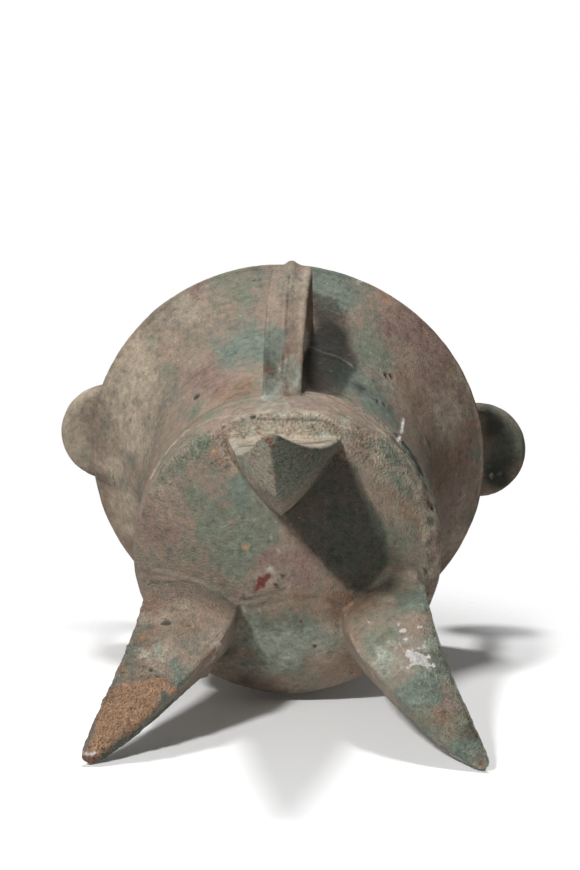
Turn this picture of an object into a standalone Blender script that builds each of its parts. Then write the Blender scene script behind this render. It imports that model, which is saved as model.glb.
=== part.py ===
"""Bronze jia: a hollow wine vessel with a flared mouth, three splayed legs, a strap handle and two capped posts.

Cast as one piece, so it is one solid. Metres, +Z up, standing on its feet, with the handle towards -Y.
"""

import math

import bmesh
import bpy
from mathutils import Vector

# Mouth and neck, as outer radii; the shares are of the neck's own height, from its foot up to the rim
RIM_RADIUS = 0.0850
RIM_HEIGHT = 0.1944
RIM_OVAL = 0.0017
RIM_OVAL_ANGLE = math.radians(64)
NECK_FOOT_RADIUS = 0.0572
NECK_FOOT_HEIGHT = 0.1162
NECK_HEIGHT = RIM_HEIGHT - NECK_FOOT_HEIGHT
FLARE_RADIUS = 0.0682
FLARE_SHARE = 0.7327
FLARE_HEIGHT = NECK_FOOT_HEIGHT + FLARE_SHARE * NECK_HEIGHT
CORD_RADIUS = 0.0606
CORD_SHARE = 0.5243
CORD_HEIGHT = NECK_FOOT_HEIGHT + CORD_SHARE * NECK_HEIGHT
WAIST_RADIUS = 0.0562
WAIST_SHARE = 0.2148
WAIST_HEIGHT = NECK_FOOT_HEIGHT + WAIST_SHARE * NECK_HEIGHT

# Belly
SHOULDER_RADIUS = 0.0593
SHOULDER_HEIGHT = 0.1138
BELLY_RADIUS = 0.0601
BELLY_MID_HEIGHT = 0.1010
BELLY_EDGE_HEIGHT = 0.0888
BELLY_EDGE_ROUND = 0.0050
BOTTOM_HEIGHT = 0.0681
BOTTOM_RIM_RISE = 0.0150
BELLY_EDGE_TURN = math.radians(55)

# Walls, and the raised cords that run round the outside
WALL = 0.0030
LIP_THICKNESS = 0.0046
LIP_DEPTH = 0.0100
LIP_ROUND = 0.0010
CORD_RELIEF = 0.0007
CORD_WIDTH = 0.0022

# Legs: a flat outer face and two bowed inner faces that meet on a ridge, tapering to a blunt foot
LEG_AZIMUTHS = (-90.0, 30.0, 150.0)
LEG_LEANS = ((-0.0042, 0.0008), (-0.0041, 0.0030), (-0.0012, 0.0007))
LEG_TIP_CURLS = ((0.0, 0.0), (0.0022, -0.0009), (0.0013, -0.0027))
LEG_CURL_BEND = 4
LEG_ROOT_RADII = (0.0500, 0.0481, 0.0481)
LEG_ROOT_HALF_WIDTHS = (0.0222, 0.0252, 0.0252)
LEG_FAR_TRIMS = (0.0, 0.0015, -0.0027)
LEG_TIP_RADIUS = 0.0856
LEG_ROOT_HEIGHT = 0.0904
LEG_OUT_BEND = 1.68
LEG_TIP_HALF_WIDTH = 0.0024
LEG_WIDTH_TAPER = 0.72
RIDGE_ROOT_RADII = (0.0291, 0.0245, 0.0245)
RIDGE_TIP_RADIUS = 0.0815
RIDGE_ROOT_HEIGHT = 0.0661
RIDGE_BENDS = (1.80, 2.11, 2.11)
RIDGE_ROOT_SHIFTS = ((-0.0018, 0.0), (0.0, 0.0038), (0.0022, 0.0))
RIDGE_SHIFT_FADE = 3
LEG_EDGE_ROUND = 0.0016
LEG_ROUND_LIMIT = 0.3
LEG_FACE_CROWN = 0.0012
LEG_CROWN_SHARE = 0.8
LEG_SIDE_BULGE = 0.0026
LEG_SUNK = 0.0110
LEG_RING_CROWDING = 1.35

# Handle: a strap with a ridge down its outer face, in the plane of the front leg
HANDLE_REACH = 0.0966
HANDLE_TOP_HEIGHT = 0.1690
HANDLE_CREST_RISE = 0.0035
HANDLE_CORNER_IN = 0.0045
HANDLE_CORNER_DROP = 0.0005
HANDLE_HIGH_BEND = 0.1595
HANDLE_MID_IN = 0.0010
HANDLE_LOW_BEND = 0.1330
HANDLE_LOW_IN = 0.0060
HANDLE_TAIL_RISE = 0.0085
HANDLE_FOOT_HEIGHT = 0.1090
HANDLE_TOP_WIDTH = 0.0170
HANDLE_FOOT_WIDTH = 0.0154
HANDLE_SHOULDER_SHARE = 0.84
HANDLE_SIDE_SHARE = 0.7
HANDLE_EDGE_THICKNESS = 0.0032
HANDLE_RIDGE_THICKNESS = 0.0056
HANDLE_TOP_SHIFT = 0.0026
HANDLE_FOOT_SHIFT = -0.0017
HANDLE_SHIFT_START = 0.5
HANDLE_SUNK = 0.0020

# Posts that stand on the lip, each with a round cap
POST_FEET = ((-0.0786, 0.0047), (0.0775, 0.0145))
POST_SIDE = 0.0085
POST_TOP_SIDE = 0.0070
POST_CORNER_CUT = 0.3
POST_SUNK = 0.0016
CAP_CENTRES = ((-0.0798, 0.0050), (0.0840, 0.0157))
CAP_HEIGHT = 0.2345
CAP_RADIUS = 0.0221
CAP_EDGE = 0.0080
CAP_DOME = 0.0075
CAP_KNOB_RADIUS = 0.0042
CAP_KNOB_HEIGHT = 0.0026
CAP_KNOB_ROUND = 0.0010
CAP_HOLLOW = 0.0012
# Points of the cap between its knob and its underside: share of the radius, share of the dome, share of the edge
CAP_OUTLINE = ((0.55, 0.55, 1.0), (0.90, 0.12, 1.0), (0.99, 0.0, 0.82), (1.0, 0.0, 0.45), (0.98, 0.0, 0.1))
CAP_UNDERSIDE_SHARE = 0.90
CAP_HOLLOW_SHARE = 0.50

# Steps
BODY_STEPS = 60
CAP_STEPS = 28
CURVE_STEPS = 3
BOTTOM_STEPS = 6
LEG_RINGS = 14
HANDLE_STEPS = 3
POST_RINGS = 4


def clear_scene():
    for obj in list(bpy.data.objects):
        bpy.data.objects.remove(obj, do_unlink=True)


def new_collection(name):
    collection = bpy.data.collections.new(name)
    bpy.context.scene.collection.children.link(collection)
    return collection


def add_object(name, mesh, collection):
    obj = bpy.data.objects.new(name, mesh)
    collection.objects.link(obj)
    return obj


def spline(keys, steps):
    """Points of a smooth curve through the key points (Catmull-Rom)."""
    keys = [Vector(k) for k in keys]
    ends = [2 * keys[0] - keys[1]] + keys + [2 * keys[-1] - keys[-2]]
    points = []
    for before, start, end, after in zip(ends, ends[1:], ends[2:], ends[3:]):
        for step in range(steps):
            t = step / steps
            slope_start = (end - before) / 2
            slope_end = (after - start) / 2
            points.append(
                start * (2 * t**3 - 3 * t**2 + 1)
                + slope_start * (t**3 - 2 * t**2 + t)
                + end * (3 * t**2 - 2 * t**3)
                + slope_end * (t**3 - t**2)
            )
    points.append(keys[-1])
    return points


def turned(name, profile, steps, collection):
    """A closed solid turned round Z from (radius, height) points that run down its outer side."""
    mesh = bpy.data.meshes.new(name)
    points = [(r, 0.0, z) for r, z in profile]
    edges = [(i, i + 1) for i in range(len(points) - 1)]
    mesh.from_pydata(points, edges, [])
    obj = add_object(name, mesh, collection)
    screw = obj.modifiers.new("Turn", "SCREW")
    screw.steps = steps
    screw.render_steps = steps
    screw.use_merge_vertices = True
    screw.merge_threshold = 0.00001
    graph = bpy.context.evaluated_depsgraph_get()
    solid = bpy.data.meshes.new_from_object(obj.evaluated_get(graph))
    obj.modifiers.clear()
    obj.data = solid
    return obj


def loft(name, rings, collection):
    """A closed solid through rings of equally many points, with a flat face at each end."""
    bm = bmesh.new()
    rows = [[bm.verts.new(p) for p in ring] for ring in rings]
    count = len(rings[0])
    for low, high in zip(rows, rows[1:]):
        for i in range(count):
            j = (i + 1) % count
            bm.faces.new((low[i], low[j], high[j], high[i]))
    bm.faces.new(list(reversed(rows[0])))
    bm.faces.new(rows[-1])
    bmesh.ops.recalc_face_normals(bm, faces=bm.faces)
    mesh = bpy.data.meshes.new(name)
    bm.to_mesh(mesh)
    bm.free()
    return add_object(name, mesh, collection)


def make_oval(obj):
    """Draws the mouth out along one diameter, fading to round at the waist."""
    for vertex in obj.data.vertices:
        x, y, z = vertex.co
        share = max(0.0, (z - WAIST_HEIGHT) / (RIM_HEIGHT - WAIST_HEIGHT)) ** 2
        radius = math.hypot(x, y)
        angle = math.atan2(y, x) - RIM_OVAL_ANGLE
        grown = 1 + share * RIM_OVAL / RIM_RADIUS * math.cos(2 * angle)
        if radius > 0:
            vertex.co = (x * grown, y * grown, z)


def side_curve():
    """The smooth outer side, from the rim down to the foot of the neck, as (radius, height)."""
    keys = (
        (RIM_RADIUS, RIM_HEIGHT),
        (FLARE_RADIUS, FLARE_HEIGHT),
        (CORD_RADIUS, CORD_HEIGHT),
        (WAIST_RADIUS, WAIST_HEIGHT),
        (NECK_FOOT_RADIUS, NECK_FOOT_HEIGHT),
    )
    return spline(keys, CURVE_STEPS)


def with_cord(points):
    """The same curve with a small raised cord at CORD_HEIGHT."""
    half = CORD_WIDTH / 2
    slope = (FLARE_RADIUS - WAIST_RADIUS) / (FLARE_HEIGHT - WAIST_HEIGHT)
    cord = [
        Vector((CORD_RADIUS + half * slope, CORD_HEIGHT + half)),
        Vector((CORD_RADIUS + CORD_RELIEF, CORD_HEIGHT)),
        Vector((CORD_RADIUS - half * slope, CORD_HEIGHT - half)),
    ]
    above = [p for p in points if p.y > CORD_HEIGHT + CORD_WIDTH]
    below = [p for p in points if p.y < CORD_HEIGHT - CORD_WIDTH]
    return above + cord + below


def bottom_curve(edge_radius, edge_height, middle_height, rise, steps):
    """A shallow convex bottom from its edge to the axis."""
    points = []
    for step in range(steps + 1):
        angle = math.pi / 2 * step / steps
        radius = edge_radius * math.cos(angle)
        share = radius / edge_radius
        flat = edge_height - rise - middle_height
        points.append(Vector((radius, edge_height - rise * (1 - share**2) - flat * (1 - share))))
    points[-1] = Vector((0.0, middle_height))
    return points


def outer_profile():
    """The whole outside as a solid form, from the middle of the mouth down to the middle of the bottom."""
    lip = [
        Vector((0.0, RIM_HEIGHT)),
        Vector((RIM_RADIUS - LIP_ROUND, RIM_HEIGHT)),
        Vector((RIM_RADIUS, RIM_HEIGHT - LIP_ROUND)),
    ]
    side = with_cord([p for p in side_curve() if p.y < RIM_HEIGHT - 2 * LIP_ROUND])
    belly = spline(
        (
            (SHOULDER_RADIUS, SHOULDER_HEIGHT),
            (BELLY_RADIUS, BELLY_MID_HEIGHT),
            (BELLY_RADIUS, BELLY_EDGE_HEIGHT + BELLY_EDGE_ROUND / 2),
        ),
        2,
    )
    edge = []
    for step in range(1, CURVE_STEPS + 1):
        angle = BELLY_EDGE_TURN * step / CURVE_STEPS
        radius = BELLY_RADIUS - BELLY_EDGE_ROUND * (1 - math.cos(angle))
        height = BELLY_EDGE_HEIGHT + BELLY_EDGE_ROUND * (0.5 - math.sin(angle))
        edge.append(Vector((radius, height)))
    last = edge[-1]
    bottom = bottom_curve(last.x, last.y, BOTTOM_HEIGHT, BOTTOM_RIM_RISE, BOTTOM_STEPS)[1:]
    return lip + side + belly + edge + bottom


def cavity_profile():
    """The inside: the outer side and bottom set in by the wall, with a thicker lip, from above the mouth down."""
    mouth_top = RIM_HEIGHT + LIP_ROUND
    inner_rim = RIM_RADIUS - LIP_THICKNESS
    side = side_curve()
    points = [
        Vector((0.0, mouth_top)),
        Vector((inner_rim + 2 * LIP_ROUND, mouth_top)),
        Vector((inner_rim, RIM_HEIGHT - LIP_ROUND)),
    ]
    for before, point, after in zip(side, side[1:], side[2:]):
        along = (after - before).normalized()
        inward = Vector((along.y, -along.x))
        depth = max(0.0, 1 - (RIM_HEIGHT - point.y) / (2 * LIP_DEPTH))
        inner = point + inward * (WALL + depth * (LIP_THICKNESS - WALL))
        if inner.y < RIM_HEIGHT - 2 * LIP_ROUND:
            points.append(inner)
    inner_belly = BELLY_RADIUS - WALL
    edge_height = BELLY_EDGE_HEIGHT + WALL
    points.append(Vector((inner_belly, SHOULDER_HEIGHT - WALL)))
    points.append(Vector((inner_belly, edge_height)))
    points += bottom_curve(
        inner_belly - WALL,
        edge_height - WALL,
        BOTTOM_HEIGHT + WALL,
        BOTTOM_RIM_RISE,
        BOTTOM_STEPS - 1,
    )
    return points


def leg_ring(index, t):
    """One three-sided section of a leg, at t = 0 at the belly and 1 at the foot, with rounded corners."""
    down = max(0.0, t)
    left = max(0.0, 1 - t)
    root_width = LEG_ROOT_HALF_WIDTHS[index]
    width = (root_width - LEG_TIP_HALF_WIDTH) * min(1.0, left) ** LEG_WIDTH_TAPER + LEG_TIP_HALF_WIDTH
    outer = LEG_ROOT_RADII[index] + (LEG_TIP_RADIUS - LEG_ROOT_RADII[index]) * down**LEG_OUT_BEND
    inner = RIDGE_ROOT_RADII[index] + (RIDGE_TIP_RADIUS - RIDGE_ROOT_RADII[index]) * down ** RIDGE_BENDS[index]
    outer_height = LEG_ROOT_HEIGHT * left
    inner_height = RIDGE_ROOT_HEIGHT * left
    if t < 0:
        outer_height = LEG_ROOT_HEIGHT + LEG_SUNK
        inner_height = RIDGE_ROOT_HEIGHT + LEG_SUNK * 2
    far_trim = LEG_FAR_TRIMS[index] * math.sin(math.pi * down)
    plus = width - max(0.0, far_trim)
    minus = -width - min(0.0, far_trim)
    size = width / root_width
    crown = LEG_FACE_CROWN * size
    bulge = LEG_SIDE_BULGE * size
    round_by = min(LEG_EDGE_ROUND, LEG_ROUND_LIMIT * width)
    lean_to_side = (outer - inner) / math.hypot(outer - inner, width)
    lean_in = width / math.hypot(outer - inner, width)
    middle = (outer + inner) / 2 - bulge * lean_in
    # Each point is (out from the axis, along the face, share of the way from the outer face to the ridge).
    section = (
        (outer + crown, 0.0, 0),
        (outer + crown * LEG_CROWN_SHARE, plus / 2, 0),
        (outer, plus - round_by, 0),
        (outer - round_by, plus, 0),
        (middle, plus / 2 + bulge * lean_to_side, 0.5),
        (inner + round_by, round_by, 1),
        (inner, 0.0, 1),
        (inner + round_by, -round_by, 1),
        (middle, minus / 2 - bulge * lean_to_side, 0.5),
        (outer - round_by, minus, 0),
        (outer, minus + round_by, 0),
        (outer + crown * LEG_CROWN_SHARE, minus / 2, 0),
    )
    azimuth = math.radians(LEG_AZIMUTHS[index])
    direction = Vector((math.cos(azimuth), math.sin(azimuth), 0))
    across = Vector((-direction.y, direction.x, 0))
    lean = Vector((*LEG_LEANS[index], 0)) * down + Vector((*LEG_TIP_CURLS[index], 0)) * down**LEG_CURL_BEND
    root_shift = Vector((*RIDGE_ROOT_SHIFTS[index], 0)) * min(1.0, left) ** RIDGE_SHIFT_FADE
    ring = []
    for out, side, share in section:
        height = outer_height + (inner_height - outer_height) * share
        ring.append(direction * out + across * side + lean + root_shift * share + Vector((0, 0, height)))
    return ring


def build_leg(index, collection):
    shares = [-1.0] + [1 - (1 - step / LEG_RINGS) ** LEG_RING_CROWDING for step in range(LEG_RINGS + 1)]
    rings = [leg_ring(index, t) for t in shares]
    return loft(f"leg_form_{index + 1}", rings, collection)


def wall_radius_at(height):
    """The outer radius of the neck at a height, read from the side curve."""
    side = side_curve() + [Vector((SHOULDER_RADIUS, SHOULDER_HEIGHT)), Vector((BELLY_RADIUS, BELLY_MID_HEIGHT))]
    for upper, lower in zip(side, side[1:]):
        if lower.y <= height <= upper.y:
            share = (height - lower.y) / (upper.y - lower.y)
            return lower.x + (upper.x - lower.x) * share
    return BELLY_RADIUS


def handle_path():
    """The middle line of the strap as (radius, height), from the neck over the top and down to the belly."""
    reach = HANDLE_REACH - HANDLE_RIDGE_THICKNESS / 2
    top_root = wall_radius_at(HANDLE_TOP_HEIGHT) - HANDLE_SUNK
    foot_root = wall_radius_at(HANDLE_FOOT_HEIGHT) - HANDLE_SUNK
    keys = (
        (top_root, HANDLE_TOP_HEIGHT),
        ((top_root + reach) / 2, HANDLE_TOP_HEIGHT + HANDLE_CREST_RISE),
        (reach - HANDLE_CORNER_IN, HANDLE_TOP_HEIGHT - HANDLE_CORNER_DROP),
        (reach, HANDLE_HIGH_BEND),
        (reach - HANDLE_MID_IN, (HANDLE_HIGH_BEND + HANDLE_LOW_BEND) / 2),
        (reach - HANDLE_LOW_IN, HANDLE_LOW_BEND),
        ((foot_root + reach) / 2, HANDLE_FOOT_HEIGHT + HANDLE_TAIL_RISE),
        (foot_root, HANDLE_FOOT_HEIGHT),
    )
    return spline(keys, HANDLE_STEPS)


def build_handle(collection):
    """The strap, in the plane of the axis, with its sideways shift growing below the top bend."""
    path = handle_path()
    edge = HANDLE_EDGE_THICKNESS / 2
    crest = HANDLE_RIDGE_THICKNESS - edge
    rings = []
    for index, point in enumerate(path):
        before = path[max(0, index - 1)]
        after = path[min(len(path) - 1, index + 1)]
        along = (after - before).normalized()
        outward = Vector((-along.y, along.x))
        share = index / (len(path) - 1)
        half = (HANDLE_TOP_WIDTH + (HANDLE_FOOT_WIDTH - HANDLE_TOP_WIDTH) * share) / 2
        shoulder = half * HANDLE_SHOULDER_SHARE
        moved = max(0.0, (share - HANDLE_SHIFT_START) / (1 - HANDLE_SHIFT_START))
        shift = HANDLE_TOP_SHIFT + (HANDLE_FOOT_SHIFT - HANDLE_TOP_SHIFT) * moved
        section = (
            (-half, -edge),
            (-half, edge * HANDLE_SIDE_SHARE),
            (-shoulder, edge),
            (0.0, crest),
            (shoulder, edge),
            (half, edge * HANDLE_SIDE_SHARE),
            (half, -edge),
            (0.0, -edge),
        )
        ring = []
        for side, out in section:
            place = point + outward * out
            ring.append(Vector((shift + side, -place.x, place.y)))
        rings.append(ring)
    return loft("handle_form", rings, collection)


def build_post(index, collection):
    """A square post with cut corners, from the slope of the lip up into the cap."""
    foot = Vector(POST_FEET[index])
    top = Vector(CAP_CENTRES[index])
    out = foot.normalized()
    across = Vector((-out.y, out.x))
    slope = (RIM_HEIGHT - FLARE_HEIGHT) / (RIM_RADIUS - FLARE_RADIUS)
    top_height = CAP_HEIGHT + CAP_EDGE
    cut = 1 - POST_CORNER_CUT
    corners = ((1, -cut), (1, cut), (cut, 1), (-cut, 1), (-1, cut), (-1, -cut), (-cut, -1), (cut, -1))
    rings = []
    for step in range(POST_RINGS):
        t = step / (POST_RINGS - 1)
        half = (POST_SIDE + (POST_TOP_SIDE - POST_SIDE) * t) / 2
        centre = foot + (top - foot) * t
        ring = []
        for a, b in corners:
            place = centre + out * half * a + across * half * b
            foot_height = RIM_HEIGHT - POST_SUNK - half * (1 - a) * slope
            ring.append(Vector((place.x, place.y, foot_height + (top_height - foot_height) * t)))
        rings.append(ring)
    return loft(f"post_form_{index + 1}", rings, collection)


def cap_profile():
    """A round cap: a low dome with a knob, a thick rounded edge and a slightly hollow underside."""
    top = CAP_EDGE + CAP_DOME
    points = [
        Vector((0.0, top)),
        Vector((CAP_KNOB_RADIUS - CAP_KNOB_ROUND, top - CAP_KNOB_ROUND / 2)),
        Vector((CAP_KNOB_RADIUS, top - CAP_KNOB_HEIGHT)),
    ]
    for radius, dome, edge in CAP_OUTLINE:
        points.append(Vector((CAP_RADIUS * radius, CAP_DOME * dome + CAP_EDGE * edge)))
    points.append(Vector((CAP_RADIUS * CAP_UNDERSIDE_SHARE, 0.0)))
    points.append(Vector((CAP_RADIUS * CAP_HOLLOW_SHARE, CAP_HOLLOW)))
    points.append(Vector((0.0, CAP_HOLLOW)))
    return points


def build_cap(index, collection):
    cap = turned(f"cap_form_{index + 1}", cap_profile(), CAP_STEPS, collection)
    cap.location = (*CAP_CENTRES[index], CAP_HEIGHT)
    return cap


def boolean(target, other, operation):
    modifier = target.modifiers.new(f"{operation.title()} {other.name}", "BOOLEAN")
    modifier.operation = operation
    modifier.solver = "EXACT"
    modifier.object = other
    other.hide_render = True
    other.display_type = "WIRE"


def bronze():
    material = bpy.data.materials.new("weathered_bronze")
    material.use_nodes = True
    shader = material.node_tree.nodes["Principled BSDF"]
    shader.inputs["Base Color"].default_value = (0.19, 0.165, 0.13, 1)
    shader.inputs["Roughness"].default_value = 0.72
    shader.inputs["Metallic"].default_value = 0.25
    material.diffuse_color = (0.19, 0.165, 0.13, 1)
    return material


def centre_on_box(obj):
    """Moves the mesh so that its box stands on Z = 0 with its middle on the Z axis."""
    lows = [min(v.co[i] for v in obj.data.vertices) for i in range(3)]
    highs = [max(v.co[i] for v in obj.data.vertices) for i in range(3)]
    shift = Vector((-(lows[0] + highs[0]) / 2, -(lows[1] + highs[1]) / 2, -lows[2]))
    for vertex in obj.data.vertices:
        vertex.co += shift


def build_vessel():
    parts = new_collection("bronze_jia")
    forms = new_collection("forms_and_cutters")
    vessel = turned("jia_vessel", outer_profile(), BODY_STEPS, parts)
    cavity = turned("cavity_form", cavity_profile(), BODY_STEPS, forms)
    make_oval(vessel)
    make_oval(cavity)
    for index in range(len(LEG_AZIMUTHS)):
        boolean(vessel, build_leg(index, forms), "UNION")
    boolean(vessel, build_handle(forms), "UNION")
    boolean(vessel, cavity, "DIFFERENCE")
    for index in range(len(POST_FEET)):
        boolean(vessel, build_post(index, forms), "UNION")
        boolean(vessel, build_cap(index, forms), "UNION")
    bpy.context.view_layer.update()
    graph = bpy.context.evaluated_depsgraph_get()
    joined = bpy.data.meshes.new_from_object(vessel.evaluated_get(graph))
    vessel.modifiers.clear()
    vessel.data = joined
    for form in list(forms.objects):
        bpy.data.objects.remove(form, do_unlink=True)
    bpy.data.collections.remove(forms)
    centre_on_box(vessel)
    vessel.data.materials.clear()
    vessel.data.materials.append(bronze())
    vessel.data.shade_smooth()
    vessel.data.set_sharp_from_angle(angle=math.radians(35))
    return vessel


clear_scene()
build_vessel()
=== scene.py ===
"""Looks of the bronze jia: one cast, weathered piece seen from below its feet, on pale paper in soft light.

The vessel is formed again from the same sizes as the solid, joined into one skin, given fine relief and then
one patina with painted shade and painted highlights in it. Its patches and lines are placed by the
photograph's pixels, looked up on the solid."""

import itertools
import math

import bmesh
import bpy
import numpy as np
from mathutils import Matrix, Vector
from mathutils.bvhtree import BVHTree


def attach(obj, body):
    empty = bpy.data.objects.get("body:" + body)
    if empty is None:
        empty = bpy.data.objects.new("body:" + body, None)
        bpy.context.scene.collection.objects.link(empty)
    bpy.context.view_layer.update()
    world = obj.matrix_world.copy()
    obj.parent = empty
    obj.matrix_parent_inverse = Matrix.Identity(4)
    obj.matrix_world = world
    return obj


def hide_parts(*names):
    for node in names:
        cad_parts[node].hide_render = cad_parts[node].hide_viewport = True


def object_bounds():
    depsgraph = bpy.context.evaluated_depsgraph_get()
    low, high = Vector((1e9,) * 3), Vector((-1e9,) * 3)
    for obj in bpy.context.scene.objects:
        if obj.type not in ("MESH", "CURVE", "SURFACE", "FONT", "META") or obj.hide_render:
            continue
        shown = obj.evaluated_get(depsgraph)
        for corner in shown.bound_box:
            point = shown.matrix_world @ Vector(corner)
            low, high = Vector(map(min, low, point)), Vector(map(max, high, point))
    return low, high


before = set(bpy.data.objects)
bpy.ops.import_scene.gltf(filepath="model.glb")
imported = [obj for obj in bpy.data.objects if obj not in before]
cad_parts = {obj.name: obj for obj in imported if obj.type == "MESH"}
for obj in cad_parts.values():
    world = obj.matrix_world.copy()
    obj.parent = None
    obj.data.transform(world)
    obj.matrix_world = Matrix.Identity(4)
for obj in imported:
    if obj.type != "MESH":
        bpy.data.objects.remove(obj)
cad_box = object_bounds()
MM = 0.001

# Vessel axis in the row frame
AXIS = (-0.0021, 0.0060043)

# Mouth, neck and belly: outer (radius, height)
RIM_RADIUS = 0.0850
RIM_HEIGHT = 0.1944
RIM_OVAL = 0.0017
RIM_OVAL_ANGLE = math.radians(64)
FLARE = (0.0682, 0.1735)
CORD = (0.0606, 0.1572)
WAIST = (0.0562, 0.1330)
NECK_FOOT = (0.0572, 0.1162)
SHOULDER = (0.0593, 0.1138)
BELLY_RADIUS = 0.0601
BELLY_MID_HEIGHT = 0.1010
BELLY_EDGE_HEIGHT = 0.0888
BELLY_EDGE_ROUND = 0.0050
BELLY_EDGE_TURN = math.radians(55)
BOTTOM_HEIGHT = 0.0681
BOTTOM_RIM_RISE = 0.0150
WALL = 0.0030
LIP_THICKNESS = 0.0046
LIP_DEPTH = 0.0100
LIP_ROUND = 0.0010
LIP_CHAMFER = 0.0003

# Legs
LEG_AZIMUTHS = (-90.0, 30.0, 150.0)
LEG_LEANS = ((-0.0042, 0.0008), (-0.0041, 0.0030), (-0.0012, 0.0007))
LEG_TIP_CURLS = ((0.0, 0.0), (0.0022, -0.0009), (0.0013, -0.0027))
LEG_ROOT_RADII = (0.0500, 0.0481, 0.0481)
LEG_ROOT_HALF_WIDTHS = (0.0222, 0.0252, 0.0252)
LEG_FAR_TRIMS = (0.0, 0.0015, -0.0027)
LEG_TIP_RADIUS = 0.0856
LEG_ROOT_HEIGHT = 0.0904
LEG_OUT_BEND = 1.68
LEG_TIP_HALF_WIDTH = 0.0024
LEG_WIDTH_TAPER = 0.72
RIDGE_ROOT_RADII = (0.0291, 0.0245, 0.0245)
RIDGE_TIP_RADIUS = 0.0815
RIDGE_ROOT_HEIGHT = 0.0661
RIDGE_BENDS = (1.80, 2.11, 2.11)
RIDGE_ROOT_SHIFTS = ((-0.0018, 0.0), (0.0, 0.0038), (0.0022, 0.0))
LEG_EDGE_ROUND = 0.0016
FRONT_EDGE_LIFT = 0.0022
LEG_FACE_CROWN = 0.0012
LEG_SIDE_BULGE = 0.0026
LEG_SUNK = 0.0110
LEG_RINGS = 40

# Handle
HANDLE_KEYS = (
    (0.0633, 0.1690), (0.07855, 0.1725), (0.0893, 0.1685), (0.0938, 0.1595),
    (0.0928, 0.14625), (0.0878, 0.1330), (0.0758, 0.1175), (0.0578, 0.1090),
)
HANDLE_TOP_WIDTH = 0.0170
HANDLE_FOOT_WIDTH = 0.0154
HANDLE_EDGE_THICKNESS = 0.0032
HANDLE_RIDGE_THICKNESS = 0.0056
HANDLE_TOP_SHIFT = 0.0026
HANDLE_FOOT_SHIFT = -0.0017

# Posts and caps
POST_FEET = ((-0.0786, 0.0047), (0.0775, 0.0145))
POST_SIDE = 0.0085
POST_TOP_SIDE = 0.0070
CAP_CENTRES = ((-0.0798, 0.0050), (0.0840, 0.0157))
CAP_HEIGHT = 0.2345
CAP_EDGE = 0.0080
CAP_KEYS = (
    (0.0, 0.0155), (0.0030, 0.0150), (0.0042, 0.0136), (0.0048, 0.0130), (0.0121, 0.0121), (0.0199, 0.0089),
    (0.0217, 0.0071), (0.0221, 0.0048), (0.0219, 0.0020), (0.0199, 0.0), (0.0110, 0.0012), (0.0, 0.0012),
)

# Mesh: the skin's voxel, the steps round each turned form, and the most triangles that the finished skin has
VOXEL = 0.00095
BODY_STEPS, CAP_STEPS, LIP_STEPS, CAVITY_STEPS = 256, 112, 512, 192
FINE_ROUND_LINES = 0.0019
MOST_TRIANGLES = 194000
BOX_MARGIN = 0.00002
POST_FOOT_SHARE, POST_FOOT_WIDER = 0.4, 0.00006
LIP_WIDER, LIP_HIGHER = 0.00005, 0.00002

# Camera: below the feet, looking up at them, in metres, radians and the photograph's pixels
CAMERA_PLACE = Vector((0.006094, -0.372642, -0.764841))
CAMERA_PITCH, CAMERA_YAW, CAMERA_ROLL = -0.3672564481, 0.0071858182, 0.0107379976
PHOTO_WIDTH, PHOTO_HEIGHT = 580, 870
FOCAL_PIXELS = 2400

# Steps to the pixels round one, nearest first, for a ray that just passes the solid's edge
NEAREST_PIXELS = sorted(itertools.product(range(-4, 5), repeat=2), key=lambda step: math.hypot(*step))

# Relief that covers a zone: height and size in metres, seed
CASTING_NOISE = ((0.00028, 0.026, 1), (0.00016, 0.009, 2), (0.00008, 0.0035, 3))
COARSE_NOISE = ((0.00013, 0.0042, 5), (0.00005, 0.0021, 4))
TURN_NOISE = ((0.00045, 0.0045, 61), (0.00035, 0.0022, 62))
CRUST_NOISE = ((0.0006, 0.0034, 31), (0.0004, 0.0018, 32), (0.0003, 0.0011, 38))
ROUGH_LEG_NOISE = ((0.00028, 0.003, 33), (0.00022, 0.0017, 34), (0.00016, 0.001, 36))
BUMP_NOISE = ((0.0011, 0.0024, 35), (0.0006, 0.0012, 39))
CRUST_HEIGHT = 0.0005
PIT_DEPTH = 0.00025
HOLE_DEPTH = 0.0010
HOLE_LEAST_STRENGTH, HOLE_MOST_REACH = 0.85, 0.0026

# Lines turned round the vessel: its zone, height on the vessel, half width and relief
TURNED_LINES = (
    ("neck", CORD[1], 0.0010, 0.00055),
    ("neck", CORD[1] + 0.0026, 0.0009, -0.00025),
    ("belly", 0.1148, 0.0008, -0.00045),
    ("belly", 0.1128, 0.0010, 0.00035),
    ("belly", 0.1080, 0.0007, -0.00030),
)

# Zones of the vessel, each border as a pair: where the zone is nothing and where it is full
LEG_TOP, LEG_START = (0.0905, 0.080), (0.046, 0.060)
BOTTOM_EDGE = (0.098, 0.088)
FACING_FRONT, FACING_LEFT, FACING_RIGHT = (-0.45, -0.75), (0.05, -0.35), (0.05, 0.35)
BAND_FRONT, BAND_SIDES = (-0.036, -0.044), (0.026, 0.018)
BAND_LOW, BAND_HIGH, BAND_MAUVE = (0.078, 0.084), (0.102, 0.097), (0.086, 0.094)
FRONT_LEG_START, FRONT_LEG_TOP = (-0.030, -0.036), (0.0905, 0.0885)
FRONT_GRAIN_START = (-0.035, -0.045)
ROUGH_LEG_SIDE, ROUGH_LEG_TOP = (-0.03, -0.045), 0.075
CRUST_SIDE, CRUST_TOP = (-0.02, -0.05), 0.055
RIGHT_LEG_DIM = (0.018, 0.036)
TURN_START, TURN_END = (-66, -44), (26, 0)
TURN_LOW, TURN_HIGH = (0.0905, 0.0935), (0.1180, 0.1120)
CORNER_START, CORNER_END = (-62, -48), (18, 5)
CORNER_LOW, CORNER_HIGH = (0.080, 0.084), (0.120, 0.115)
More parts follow.
